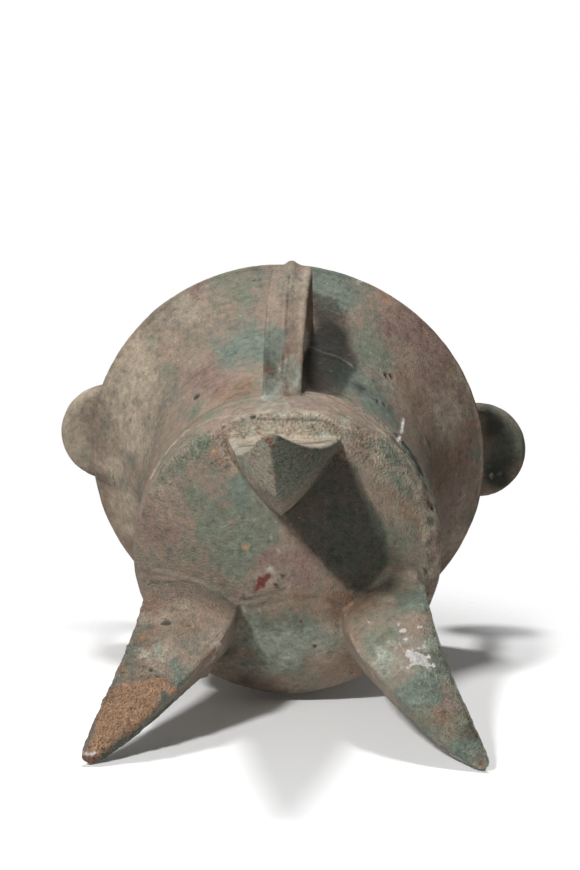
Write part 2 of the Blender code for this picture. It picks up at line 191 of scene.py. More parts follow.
AWAY, AWAY_DIRECTION = (0.1, 0.6), np.array((0.0, 0.62, 0.78))
THIN_AWAY = (-0.1, 0.4)

# Patches above this height lie on the steep wall, so they are drawn out along it. Soft kinds reach further.
# Small patches keep a tenth of a millimetre in their place. Noise bends the outlines of all of them.
WALL_PATCH_START, WALL_PATCH_DRAWN = 0.105, 0.5
FINE_PATCH = 0.0019
BEND_SIZE, BEND_DEPTH = 0.012, 0.0016
SOFT_REACH = {
    "grey": 1.4, "buff": 1.5, "olive": 1.5, "teal": 1.45, "mauve": 1.5, "brown": 1.45, "dim": 1.4,
    "sand": 1.15, "pale": 1.1,
}

# Patina on the sides that the photograph doesn't show: kind, size, seed, share
FAR_SIDE = (
    ("olive", 0.016, 51, 0.9), ("teal", 0.020, 52, 0.9), ("mauve", 0.018, 53, 0.9), ("brown", 0.022, 54, 0.9),
    ("sand", 0.009, 55, 0.5), ("pale", 0.008, 56, 0.5), ("dark", 0.012, 57, 0.5),
)

# How dark or light each line of STROKES is. The dark of handle_groove and cord_left is painted shade in their
# grooves; the light of cord_left_band is painted light on a ledge.
DARK_LINES = {
    "crack": 0.95, "slit": 1.0, "right_root_crease": 0.7, "left_crease": 0.55, "left_crease_low": 0.35,
    "belly_arc_groove": 0.7, "cord_left": 0.5, "belly_low_line": 0.4, "right_line_a": 0.6,
    "right_line_b": 0.5, "right_line_c": 0.5, "neck_line_left": 0.4, "handle_line": 0.6,
    "right_edge": 0.85, "left_edge": 0.6, "handle_groove": 1.0, "left_tip_dark": 0.7,
    "front_crease_left": 0.35, "front_crease_right": 0.35, "panel_edge": 0.25, "brown_line": 0.35,
}
LIGHT_LINES = {
    "belly_arc": 0.75, "belly_arc_top": 0.6, "cord_left_band": 0.35, "right_leg_seam": 0.7,
    "painted_highlight_high": 1.0, "painted_highlight_low": 0.7, "right_tip_line": 1.0, "left_tip_line": 0.9,
    "neck_line_right": 0.35, "left_leg_bump": 0.3,
}
# Lines drawn near white: a painted highlight on the belly's right shoulder, and light lines on the tips of
# the feet
BRIGHT_LINES = ("painted_highlight_high", "right_tip_line", "left_tip_line")

# Patches of the patina, chosen in the photograph: pixel across and down, reach in pixels, strength.
# A negative strength takes away from its neighbours. Three kinds are not only patina: dim is partly painted
# shade, buff partly painted light and glint a painted highlight.
SPOTS = {
    "grey": (
        (440, 710, 9, -0.8), (455, 722, 9, -0.7), (268, 500, 8, 0.7), (275, 506, 6, 0.6), (270, 385, 8, 0.5),
        (268, 396, 6, 0.5), (400, 640, 14, 0.2), (385, 655, 12, 0.7), (385, 668, 8, 0.5), (430, 640, 10, 0.3),
        (410, 665, 10, 0.3), (262, 640, 16, 0.8), (285, 655, 14, 0.8), (300, 640, 14, 0.7),
        (320, 640, 12, 0.6), (270, 670, 12, 0.7), (245, 465, 9, 1), (240, 450, 6, 1), (252, 485, 7, 0.9),
        (262, 500, 6, 0.7), (300, 385, 6, 0.8), (290, 360, 5, 0.7), (275, 380, 7, 0.6), (425, 585, 8, 0.5),
        (430, 600, 8, 0.5), (385, 380, 8, 0.4), (340, 300, 10, 0.4), (150, 650, 10, 0.5), (165, 660, 10, 0.4),
        (328, 640, 12.9, 0.5), (392, 588, 10.4, 0.9), (292, 372, 7.8, 1),
    ),
    # buff: lighter patina, and partly painted light where the lamps light too little: the neck's edges, the
    # left cap and the bottom's right corner
    "buff": (
        (330, 600, 8, 0.6), (90, 400, 8, 0.8), (130, 500, 9, 0.6), (390, 590, 10, 1), (450, 400, 12, 0.6),
        (300, 285, 10, 0.4), (298, 310, 8, 0.4), (395, 592, 12, 0.9), (405, 578, 9, 0.7), (150, 618, 10, 0.8),
        (165, 640, 8, 0.4), (255, 455, 10, 0.6), (250, 475, 9, 0.6), (428, 515, 8, 0.8), (432, 535, 8, 0.7),
        (400, 515, 9, 0.7), (385, 475, 9, 0.7), (245, 436, 9, 0.9), (262, 433, 8, 0.9), (280, 431, 7, 0.9),
        (297, 434, 7, 1), (312, 439, 7, 1), (240, 470, 10, 0.6), (250, 490, 8, 0.5), (140, 350, 22, 0.7),
        (125, 395, 22, 0.8), (135, 440, 18, 0.7), (112, 470, 14, 0.9), (115, 520, 16, 0.9),
        (72, 410, 12, 1.1), (70, 440, 12, 1.1), (80, 460, 9, 0.9), (445, 360, 14, 0.5), (455, 420, 14, 0.6),
        (445, 390, 12, 0.5), (460, 500, 14, 0.7), (455, 540, 12, 0.6), (395, 585, 12, 0.9),
        (380, 600, 8, 0.6), (240, 460, 12, 0.8), (248, 475, 8, 0.6), (325, 630, 12, 0.7), (325, 655, 10, 0.6),
        (190, 300, 14, 0.5), (160, 510, 14, 0.5), (275, 580, 12, 0.4), (118, 515, 14, 0.8),
        (450, 395, 16.6, 0.4), (392, 588, 10.4, 0.6), (160, 655, 10.7, 0.6), (180, 610, 13.2, 0.5),
    ),
    "olive": (
        (448, 712, 10, -0.7), (210, 415, 8, 0.7), (228, 410, 7, 0.5), (175, 440, 7, 0.6), (165, 458, 7, 0.6),
        (495, 470, 8, 0.8), (505, 445, 8, 0.5), (495, 430, 8, 0.5), (480, 450, 8, 0.5), (500, 410, 6, 0.5),
        (390, 470, 10, 0.2), (400, 490, 10, 0.2), (395, 560, 8, 0.4), (410, 600, 8, 0.6), (202, 672, 7, 0.8),
        (182, 692, 7, 0.8), (168, 704, 7, 0.8), (152, 718, 7, 0.8), (135, 730, 6, 0.8), (119, 742, 6, 0.8),
        (405, 600, 12, 0.7), (415, 660, 12, 0.5), (385, 680, 10, 0.6), (440, 660, 8, 0.6), (250, 400, 8, 0.6),
        (262, 405, 6, 0.5), (370, 640, 8, 0.6), (360, 620, 6, 0.5), (243, 465, 10, 0.7), (252, 485, 8, 0.6),
        (235, 452, 8, 0.5), (300, 480, 10, 0.6), (285, 495, 8, 0.6), (405, 452, 8, 0.6), (245, 275, 16, 0.8),
        (215, 280, 10, 0.4), (240, 300, 10, 0.4), (166, 371, 7, 0.5), (150, 345, 8, 0.35),
        (175, 400, 8, 0.35), (197, 410, 7, 0.9), (190, 425, 6, 0.7), (130, 460, 8, 0.6), (123, 480, 6, 0.5),
        (135, 400, 8, 0.35), (160, 480, 8, 0.7), (180, 465, 7, 0.7), (198, 448, 8, 0.9), (205, 440, 6, 0.7),
        (240, 455, 6, 0.4), (215, 515, 10, 1), (205, 530, 10, 0.8), (250, 515, 14, 1), (262, 530, 10, 1),
        (240, 540, 10, 0.7), (225, 560, 12, 0.8), (240, 570, 12, 0.9), (190, 555, 8, 0.7), (200, 500, 8, 0.7),
        (192, 495, 6, 0.7), (255, 545, 8, 0.9), (150, 560, 5, 0.4), (372, 352, 9, 1), (385, 362, 6, 0.9),
        (362, 345, 8, 0.7), (350, 330, 8, 0.35), (400, 345, 6, 0.35), (392, 395, 6, 0.35), (385, 450, 7, 0.6),
        (400, 460, 8, 0.4), (345, 395, 8, 0.6), (395, 535, 12, 0.7), (410, 540, 10, 0.7), (260, 620, 14, 0.9),
        (270, 650, 16, 0.9), (300, 640, 14, 0.8), (330, 655, 8, 0.5), (250, 640, 8, 0.7), (290, 670, 12, 0.8),
        (310, 625, 8, 0.6), (320, 680, 8, 0.5), (290, 620, 10, 0.7), (215, 470, 6, 0.5), (175, 580, 6, 0.4),
        (390, 630, 10, 0.6), (375, 650, 8, 0.6), (85, 455, 8, 0.5), (70, 440, 6, 0.4), (345, 560, 10, 0.5),
        (510, 430, 6, 0.6), (517, 445, 5, 0.6), (515, 458, 8.9, 0.6),
    ),
    "teal": (
        (445, 708, 9, -0.7), (245, 345, 13, 0.75), (228, 352, 12, 0.7), (255, 335, 9, 0.7),
        (262, 352, 8, 0.8), (262, 270, 5, 0.5), (238, 495, 12, 1), (245, 480, 8, 0.7), (335, 280, 18, 1),
        (318, 280, 10, 0.9), (358, 290, 8, 0.5), (345, 300, 6, 0.5), (270, 345, 8, 1), (276, 335, 7, 1),
        (272, 354, 7, 0.9), (270, 388, 8, 0.6), (360, 385, 12, 0.9), (345, 380, 10, 0.8), (375, 395, 10, 0.9),
        (385, 410, 8, 0.9), (395, 425, 8, 0.9), (370, 410, 8, 0.7), (410, 440, 6, 0.7), (430, 680, 9, 1.2),
        (438, 703, 7, 1.2), (415, 695, 12, 0.9), (400, 700, 10, 0.8), (380, 655, 8, 0.7), (456, 748, 8, 0.9),
        (463, 757, 7, 0.9), (472, 748, 7, 1), (395, 640, 8, 0.5), (420, 600, 12, 0.6), (400, 615, 10, 0.5),
        (187, 645, 5, 0.9), (143, 625, 4, 0.7), (130, 650, 6, 0.8), (113, 682, 6, 0.8), (105, 700, 5, 0.7),
        (124, 667, 4, 0.8), (178, 665, 7, 0.9), (165, 698, 5, 1.3), (160, 688, 4, 1), (180, 685, 7, 0.9),
        (157, 713, 6, 0.9), (140, 728, 6, 0.9), (184, 690, 6, 0.8), (118, 747, 6, 0.9), (262, 640, 8, 0.5),
        (300, 630, 10, 0.7), (235, 640, 10, 0.8), (245, 665, 10, 0.8), (490, 408, 7, 0.8), (497, 460, 7, 0.6),
        (405, 560, 8, 0.4), (280, 470, 6, 0.5), (300, 470, 12, 0.6), (290, 490, 10, 0.6),
    ),
    "mauve": (
        (269, 445, 4, 0.9), (271, 460, 3.5, 0.9), (272, 472, 3, 0.7), (197, 289, 10, 0.8), (258, 271, 6, 0.8),
        (208, 378, 10, 1), (222, 383, 9, 0.9), (196, 385, 6, 0.8), (182, 372, 6, 0.5), (163, 510, 14, 0.4),
        (150, 500, 10, 0.4), (175, 492, 8, 0.45), (150, 525, 14, 0.45), (170, 540, 10, 0.6),
        (400, 320, 14, 0.9), (420, 335, 14, 0.9), (440, 350, 12, 0.8), (395, 335, 8, 0.6),
        (430, 380, 14, 0.7), (455, 400, 12, 0.7), (460, 460, 16, 0.7), (455, 500, 14, 0.8),
        (440, 540, 10, 0.8), (100, 475, 10, 0.6), (110, 510, 12, 0.7), (105, 450, 8, 0.4), (130, 545, 8, 0.7),
        (275, 280, 6, 0.5), (283, 300, 6, 0.6), (445, 700, 8, 0.7), (460, 715, 8, 0.7), (300, 560, 14, 0.6),
        (310, 580, 10, 0.5), (320, 545, 10, 0.6), (150, 600, 12, 0.6), (185, 600, 10, 0.6),
        (200, 625, 8, 0.7), (155, 615, 10, 0.5), (225, 430, 6, 0.4), (212, 560, 8, 0.3), (85, 415, 8, 0.4),
        (95, 440, 6, 0.4), (269, 563, 11, 1), (390, 560, 10, 0.5), (425, 590, 8, 0.4), (430, 620, 6, 0.4),
    ),
    "brown": (
        (240, 390, 10, 0.5), (245, 392, 10, 0.8), (255, 398, 8, 0.6), (200, 420, 10, 0.5),
        (185, 430, 10, 0.4), (170, 450, 8, 0.4), (330, 595, 10, 0.4), (350, 600, 10, 0.5),
        (230, 395, 10, 0.7), (222, 405, 8, 0.5), (215, 392, 8, 0.5), (345, 605, 12, 0.6), (365, 610, 10, 0.6),
        (430, 420, 20, 0.3), (450, 450, 16, 0.5), (440, 480, 16, 0.8), (470, 430, 10, 0.6),
        (415, 400, 10, 0.7), (400, 370, 10, 0.5), (450, 370, 14, 0.6), (297, 330, 10, 0.2),
        (295, 300, 9, 0.2), (298, 352, 8, 0.4), (271, 370, 5, 1.3), (300, 416, 7, 0.4), (250, 419, 8, 0.7),
        (235, 425, 6, 0.6), (300, 600, 12, 0.6), (340, 612, 12, 0.7), (270, 600, 8, 0.6), (350, 640, 12, 0.7),
        (340, 665, 12, 0.7), (360, 670, 8, 0.6), (455, 730, 10, 0.9), (440, 715, 8, 0.8), (467, 722, 6, 0.9),
        (310, 510, 10, 0.8), (300, 520, 10, 0.7), (142, 642, 8, 0.6), (150, 650, 12, 0.5),
        (190, 630, 12, 0.6), (210, 655, 8, 0.9), (200, 670, 8, 0.7), (165, 610, 14, 0.5), (148, 600, 8, 0.5),
        (400, 500, 20, 0.35), (415, 520, 14, 0.4), (380, 480, 14, 0.35), (360, 440, 12, 0.4),
        (105, 500, 12, 0.5), (120, 530, 10, 0.6), (448, 560, 10, 0.7), (265, 440, 5, 1.2), (475, 735, 7, 0.7),
        (389, 588, 9.4, -0.6), (502, 440, 6, 0.5),
    ),
    "sand": (
        (160, 637, 4, 0.7), (175, 690, 4, 0.9), (183, 690, 4, 0.7), (125, 700, 16, 1.2), (140, 695, 14, 1.2),
        (115, 720, 14, 1.2), (105, 735, 10, 1.2), (130, 725, 12, 1.1), (150, 690, 10, 1.1),
        (160, 684, 7, 1.1), (145, 710, 8, 1.1), (98, 745, 8, 1.1), (172, 689, 4, 1), (122, 668, 7, 0.8),
        (140, 640, 6, 0.7), (384, 297, 4, 1), (387, 304, 3, 0.9), (391, 333, 2.5, 0.8), (428, 333, 2.5, 0.8),
        (193, 525, 5, 0.9), (207, 507, 4, 0.7), (220, 508, 5, 0.8), (230, 522, 4, 0.8), (210, 540, 4, 0.7),
        (228, 500, 4, 0.7), (146, 478, 3, 0.9), (247, 548, 5, 0.7), (203, 545, 3, 0.6), (160, 555, 6, 0.6),
        (350, 606, 9, 0.6), (370, 606, 8, 0.6), (215, 455, 8, 0.6), (225, 465, 8, 0.6), (352, 590, 8, 0.5),
        (450, 720, 5, 0.5), (340, 683, 6, 0.6), (358, 676, 8, 0.5),
    ),
    "pale": (
        (322, 364, 4, 0.5), (331, 371, 4, 0.5), (337, 380, 4, 0.5), (325, 384, 4, 0.55), (334, 390, 4, 0.6),
        (318, 374, 3, 0.5), (342, 374, 3, 0.4), (400, 470, 2, 0.9), (395, 455, 2, 0.9), (390, 440, 2, 0.8),
        (408, 490, 2, 0.9), (385, 430, 2, 0.8), (375, 420, 2, 0.8), (290, 362, 6, 1.3), (292, 385, 7, 1.2),
        (493, 475, 4, 0.9), (502, 473, 3.4, 0.8), (289, 375, 5, 0.8), (300, 268, 8, 0.5), (361, 283, 4, 1),
        (386, 360, 3, 0.7), (370, 370, 3, 0.7), (393, 366, 3, 0.6), (290, 430, 6, 0.4), (310, 434, 6, 0.5),
        (322, 441, 6, 0.6), (245, 608, 5, 1), (262, 608, 6, 0.7), (145, 658, 5, 1), (152, 663, 5, 1),
        (138, 652, 4, 0.7), (135, 645, 4, 0.5), (270, 539, 4, 0.9), (272, 573, 5, 1.2), (278, 550, 3, 0.9),
        (256, 588, 3, 0.7), (257, 645, 4, 0.9), (262, 652, 3, 0.8), (287, 657, 4, 0.9), (282, 665, 3, 0.6),
        (270, 635, 5, 0.5), (290, 690, 5, 0.5), (398, 622, 5, 0.6), (381, 605, 5, 0.5), (390, 600, 5, 0.5),
        (385, 660, 10, 0.7), (395, 645, 8, 0.6), (402, 670, 8, 0.6), (436, 735, 6, 0.5), (430, 720, 5, 0.6),
        (118, 676, 3, 0.6), (116, 690, 3, 0.6), (170, 622, 3, 0.5), (75, 400, 6, 0.4), (430, 500, 6, 0.5),
        (340, 550, 5, 0.3), (210, 655, 4, 0.5), (415, 510, 6, 0.4), (330, 570, 6, 0.4), (515, 460, 4, 0.4),
    ),
    "red": (
        (262, 584, 6.3, 1.25), (254, 591, 5, 1.05), (269, 578, 4.7, 1.05), (283, 575, 2.5, 1),
        (246, 590, 3, 0.8), (270, 592, 3, 0.8), (302, 622, 2.5, 0.9), (312, 646, 3, 1), (160, 636, 4, 0.6),
        (262, 560, 4, 0.5), (285, 562, 3, 0.5),
    ),
    "dark": (
        (480, 757, 4, 0.8), (474, 750, 4, 0.6), (163, 618, 3, 0.6), (171, 628, 3, 0.6), (145, 667, 2.5, 0.9),
        (152, 671, 2.5, 0.9), (158, 678, 2, 0.9), (150, 662, 2, 0.9), (458, 733, 10, 0.2),
        (466, 742, 7, 0.25), (448, 728, 6, 0.2), (197, 397, 4, 1), (386, 375, 3, 0.9), (391, 376, 3, 0.9),
        (253, 416, 3.5, 1), (217, 437, 4, 0.8), (378, 402, 3, 0.9), (385, 405, 2.5, 0.9), (420, 476, 3, 1.1),
        (433, 507, 3.5, 1.2), (401, 443, 3, 1), (167, 623, 5, 1), (352, 673, 3, 0.8), (277, 587, 3, 1),
        (283, 577, 2.5, 1), (316, 348, 7, 0.7), (370, 405, 3, 0.8), (408, 465, 4, 0.8), (415, 480, 4, 0.7),
        (470, 726, 4, 0.8), (455, 690, 4, 0.6), (462, 700, 4, 0.6), (385, 673, 3, 0.7),
    ),
    # dim: painted shade, partly darker patina: the handle's shadow on the neck, the shaded right cap, the
    # dark turn of the belly and the lower face of the left leg
    "dim": (
        (270, 370, 7, 0.4), (268, 352, 8, 0.45), (270, 390, 6, 0.5), (352, 362, 7, 0.5), (310, 285, 6, 0.3),
        (375, 620, 9, 0.25), (400, 608, 9, 0.2), (388, 632, 7, 0.35), (405, 630, 7, 0.3), (395, 645, 6, 0.2),
        (205, 622, 7, 0.3), (370, 430, 9, 0.3), (405, 452, 7, 0.3), (420, 442, 6, 0.3), (430, 468, 8, 0.35),
        (436, 487, 8, 0.3), (440, 512, 8, 0.25), (424, 455, 6, 0.3), (315, 358, 6, 0.9), (325, 368, 8, 0.9),
        (335, 376, 7, 0.9), (318, 378, 7, 0.9), (318, 312, 7, 0.5), (330, 325, 8, 0.45), (338, 338, 8, 0.5),
        (322, 338, 8, 0.5), (318, 470, 8, 0.4), (202, 672, 6, 0.45), (182, 692, 6, 0.45), (168, 704, 6, 0.45),
        (152, 718, 6, 0.45), (135, 730, 6, 0.45), (119, 742, 6, 0.4), (106, 751, 5, 0.4), (214, 655, 6, 0.4),
        (330, 380, 10, 0.8), (318, 362, 8, 0.6), (400, 438, 6, 0.8), (407, 447, 6, 0.9), (414, 459, 6, 0.9),
        (420, 472, 6, 0.9), (425, 486, 5, 0.9), (428, 502, 5, 0.9), (431, 520, 5, 0.8), (432, 540, 5, 0.7),
        (432, 560, 5, 0.6), (500, 425, 8, 0.6), (512, 440, 6, 0.3), (332, 386, 6, 0.9), (378, 395, 8, 0.3),
        (390, 408, 6, 0.5), (400, 425, 6, 0.4), (326, 372, 16, 1.2), (322, 352, 10, 0.8),
        (362, 386, 12, 0.15), (340, 362, 8, 0.7), (240, 400, 14, 0.38), (270, 372, 8, 0.25),
        (350, 420, 10, 0.3), (150, 627, 5, 0.5), (340, 366, 6, 0.5), (335, 340, 10, 0.45),
        (225, 650, 12, 0.6), (235, 620, 8, 0.6), (250, 680, 10, 0.5), (192, 684, 6, 0.5), (165, 706, 5, 0.5),
        (360, 388, 5, 0.6), (395, 455, 5, 0.6), (325, 360, 10, 0.8), (332, 375, 10, 0.9), (320, 385, 8, 1),
        (498, 450, 14, 0.6), (495, 475, 9, 0.8), (488, 430, 7, 0.6), (503, 480, 7, 0.6), (470, 735, 8, 0.4),
        (387, 586, 9.4, -0.35), (487, 413, 8.9, 0.7), (511, 462, 6.7, 0.35), (289, 378, 7.8, 0.2),
    ),
    # glint: a painted highlight of near white spots on the right leg, which also make the surface shinier
    # there
    "glint": (
        (402, 630, 5, 0.9), (406, 640, 4, 0.8), (418, 628, 4, 1), (420, 638, 4, 0.9), (408, 652, 5, 1),
        (414, 658, 7, 1.2), (424, 662, 6, 1.2), (432, 668, 5, 1), (410, 665, 5, 0.8), (422, 650, 4, 0.7),
        (398, 624, 4, 0.6), (428, 656, 4, 0.7),
    ),
    "copper": (
        (271, 370, 6.7, 0.62), (268, 438, 3.5, 1.1), (269, 446, 3.5, 1.2), (270, 454, 2.5, 1.1),
        (88, 758, 9, 1.3), (96, 757, 6, 1), (482, 765, 4, 1.1),
    ),
}

# Lines in the surface: half width in mm, relief in mm, the photograph's pixels that they run through
STROKES = {
    "right_edge": (0.5, -0.1, ((425, 607), (434, 635), (446, 667), (460, 699), (472, 727), (484, 755))),
    "left_edge": (0.5, -0.1, ((117, 680), (106, 702), (96, 722), (87, 742))),
    "left_tip_dark": (0.5, -0.1, ((127, 741), (115, 749), (103, 756))),
    "handle_groove": (0.6, -0.7, ((289, 275), (288, 300), (286, 330), (283, 362), (281, 398))),
    "crack": (0.55, -0.9, ((232, 604), (245, 600), (258, 597), (272, 593), (285, 589))),
    "panel_edge": (1, -0.45, ((240, 608), (262, 605), (285, 600), (300, 596), (320, 598), (338, 604))),
    "left_crease": (0.7, -0.5, ((143, 572), (155, 573), (175, 578), (195, 584), (215, 591), (232, 601))),
    "left_crease_low": (0.6, -0.3, ((150, 580), (170, 584), (190, 590), (210, 598))),
    "front_crease_left": (0.6, -0.55, ((224, 426), (228, 450), (240, 472), (256, 492), (272, 509))),
    "front_crease_right": (0.6, -0.45, ((336, 432), (326, 462), (311, 485), (298, 500), (285, 513))),
    "belly_arc": (0.6, 0.7, ((151, 480), (157, 468), (165, 456), (175, 444), (188, 431))),
    "belly_arc_groove": (0.5, -0.6, ((156, 480), (161, 469), (169, 458), (179, 446), (191, 435))),
    "belly_arc_top": (0.8, 0.4, ((198, 427), (210, 421), (226, 417))),
    "cord_left": (0.6, -0.4, ((222, 401), (240, 394), (264, 389))),
    "cord_left_band": (1.2, 0.35, ((224, 407), (242, 401), (266, 397))),
    "right_leg_seam": (0.45, 0.4, ((339, 601), (345, 615), (352, 638), (361, 656), (375, 677))),
    "slit": (0.6, -1.2, ((360, 598), (367, 594), (374, 589))),
    "right_root_crease": (0.7, -0.7, ((418, 571), (423, 582), (428, 595))),
    # Painted highlights on the belly's right shoulder
    "painted_highlight_high": (0.8, 0.3, ((404, 420), (402, 431), (398, 441))),
    "painted_highlight_low": (0.55, 0.3, ((407, 455), (412, 462), (416, 471))),
    "left_leg_bump": (2.1, 1, ((219, 634), (214, 650), (208, 664), (203, 674))),
    "brown_line": (0.7, -0.3, ((236, 422), (262, 419), (290, 419), (320, 420), (334, 425))),
    "right_tip_line": (0.35, 0.2, ((452, 754), (460, 758), (467, 762))),
    "left_tip_line": (0.35, 0.2, ((82, 753), (88, 754), (95, 753))),
    "handle_line": (0.3, -0.3, ((292, 291), (300, 290), (308, 291))),
    "belly_low_line": (0.6, -0.2, ((240, 680), (262, 690), (290, 691), (320, 689))),
    "pink_streak": (0.9, 0.1, ((371, 370), (373, 378), (377, 388))),
    "right_line_a": (0.5, -0.4, ((312, 392), (330, 398), (348, 407), (366, 420))),
    "right_line_b": (0.5, -0.4, ((312, 400), (330, 407), (346, 417), (360, 430))),
    "right_line_c": (0.5, -0.35, ((330, 390), (350, 399), (372, 415), (386, 428))),
    "neck_line_left": (0.4, -0.25, ((184, 385), (205, 368), (235, 353), (264, 347))),
    "neck_line_right": (0.5, -0.4, ((310, 346), (330, 354), (352, 366))),
}

# Outline of the painted shadow that the front leg casts on the bottom: the photograph's pixels, then places
# in mm behind the leg
FRONT_SHADE_SEEN = (
    (288, 520), (295, 530), (311, 551), (330, 573), (345, 588), (361, 591),
    (376, 582), (388, 560), (386, 540), (384, 517), (370, 498), (357, 467),
)
FRONT_SHADE_HIDDEN = ((14.0, -42.0), (4.0, -34.0), (-4.5, -22.0))
FRONT_SHADE_EDGE = (-0.0016, 0.0012)


def curve(keys, steps):
    """Points of a smooth curve through the keys (Catmull-Rom)."""
    keys = [np.array(k, float) for k in keys]
    ends = [2 * keys[0] - keys[1], *keys, 2 * keys[-1] - keys[-2]]
    points = []
    for before, start, end, after in zip(ends, ends[1:], ends[2:], ends[3:]):
        for step in range(steps):
            t = step / steps
            points.append(
                start * (2 * t**3 - 3 * t**2 + 1)
                + (end - before) / 2 * (t**3 - 2 * t**2 + t)
                + end * (3 * t**2 - 2 * t**3)
                + (after - start) / 2 * (t**3 - t**2)
            )
    points.append(keys[-1])
    return points


def bottom_curve(edge_radius, edge_height, middle_height, steps):
    points = []
    for step in range(steps + 1):
        radius = edge_radius * math.cos(math.pi / 2 * step / steps)
        share = radius / edge_radius
        flat = edge_height - BOTTOM_RIM_RISE - middle_height
        points.append((radius, edge_height - BOTTOM_RIM_RISE * (1 - share**2) - flat * (1 - share)))
    points[-1] = (0.0, middle_height)
    return points


def side_curve(steps):
    return curve(((RIM_RADIUS, RIM_HEIGHT), FLARE, CORD, WAIST, NECK_FOOT), steps)


def outer_profile():
    lip = [(0.0, RIM_HEIGHT), (RIM_RADIUS - LIP_ROUND, RIM_HEIGHT)]
    lip += [(RIM_RADIUS - LIP_CHAMFER, RIM_HEIGHT - LIP_CHAMFER), (RIM_RADIUS, RIM_HEIGHT - LIP_ROUND)]
    side = [tuple(p) for p in side_curve(10) if p[1] < RIM_HEIGHT - 2 * LIP_ROUND]
    belly_low = (BELLY_RADIUS, BELLY_EDGE_HEIGHT + BELLY_EDGE_ROUND / 2)
    belly = curve((SHOULDER, (BELLY_RADIUS, BELLY_MID_HEIGHT), belly_low), 6)
    edge = []
    for step in range(1, 7):
        angle = BELLY_EDGE_TURN * step / 6
        edge.append((
            BELLY_RADIUS - BELLY_EDGE_ROUND * (1 - math.cos(angle)),
            BELLY_EDGE_HEIGHT + BELLY_EDGE_ROUND * (0.5 - math.sin(angle)),
        ))
    return lip + side + [tuple(p) for p in belly] + edge + bottom_curve(*edge[-1], BOTTOM_HEIGHT, 20)[1:]


def lip_profile():
    """A disc with the exact outline of the lip, a hair wider than the remeshed body under it."""
    points = [(0.0, RIM_HEIGHT), (RIM_RADIUS - LIP_ROUND, RIM_HEIGHT + LIP_HIGHER)]
    points.append((RIM_RADIUS - LIP_CHAMFER, RIM_HEIGHT - LIP_CHAMFER))
    points.append((RIM_RADIUS + LIP_WIDER, RIM_HEIGHT - LIP_ROUND))
    side = np.array(side_curve(10))[::-1]
    for step in range(1, 6):
        low = RIM_HEIGHT - LIP_ROUND - 0.0009 * step
        points.append((float(np.interp(low, side[:, 1], side[:, 0])) + LIP_WIDER, low))
    return points + [(0.0, points[-1][1])]


def cavity_profile():
    inner_rim = RIM_RADIUS - LIP_THICKNESS
    points = [(0.0, RIM_HEIGHT + 0.004), (inner_rim + 0.005, RIM_HEIGHT + 0.004)]
    points += [(inner_rim + 0.0012, RIM_HEIGHT - 0.0002), (inner_rim, RIM_HEIGHT - 0.0016)]
    side = side_curve(5)
    for before, point, after in zip(side, side[1:], side[2:]):
        along = (after - before) / np.linalg.norm(after - before)
        inward = np.array((along[1], -along[0]))
        depth = max(0.0, 1 - (RIM_HEIGHT - point[1]) / (2 * LIP_DEPTH))
        inner = point + inward * (WALL + depth * (LIP_THICKNESS - WALL))
        if inner[1] < RIM_HEIGHT - 3 * LIP_ROUND:
            points.append(tuple(inner))
    inner_belly = BELLY_RADIUS - WALL
    points.append((inner_belly, SHOULDER[1] - WALL))
    points.append((inner_belly, BELLY_EDGE_HEIGHT + WALL))
    return points + bottom_curve(inner_belly - WALL, BELLY_EDGE_HEIGHT, BOTTOM_HEIGHT + WALL, 14)


def turned(profile, steps, centre=(0.0, 0.0), base=0.0, oval=False):
    """(points, faces) turned round the vertical from a profile that runs down and starts and ends on it."""
    angles = np.arange(steps) * 2 * math.pi / steps
    points = []
    for radius, height in profile[1:-1]:
        grown = 1.0
        if oval:
            share = max(0.0, (height - WAIST[1]) / (RIM_HEIGHT - WAIST[1])) ** 2
            grown = 1 + share * RIM_OVAL / RIM_RADIUS * np.cos(2 * (angles - RIM_OVAL_ANGLE))
        out = radius * grown
        points.append(np.stack([out * np.cos(angles), out * np.sin(angles), angles * 0 + height], 1))
    count = len(points)
    points.append(np.array([(0.0, 0.0, profile[0][1]), (0.0, 0.0, profile[-1][1])]))
    points = np.concatenate(points) + (centre[0], centre[1], base)
    top, low = count * steps, count * steps + 1
    faces = []
    for i in range(steps):
        j = (i + 1) % steps
        faces.append((top, i, j))
        faces.append((low, (count - 1) * steps + j, (count - 1) * steps + i))
        for row in range(count - 1):
            a, b = row * steps, (row + 1) * steps
            faces.append((a + i, b + i, b + j, a + j))
    return points, faces


def lofted(rings):
    """(points, faces) through rings of equally many points, closed at both ends."""
    count = len(rings[0])
    points = np.concatenate(rings)
    faces = [tuple(range(count))[::-1], tuple((len(rings) - 1) * count + i for i in range(count))]
    for row in range(len(rings) - 1):
        a, b = row * count, (row + 1) * count
        for i in range(count):
            j = (i + 1) % count
            faces.append((a + i, a + j, b + j, b + i))
    return points, faces


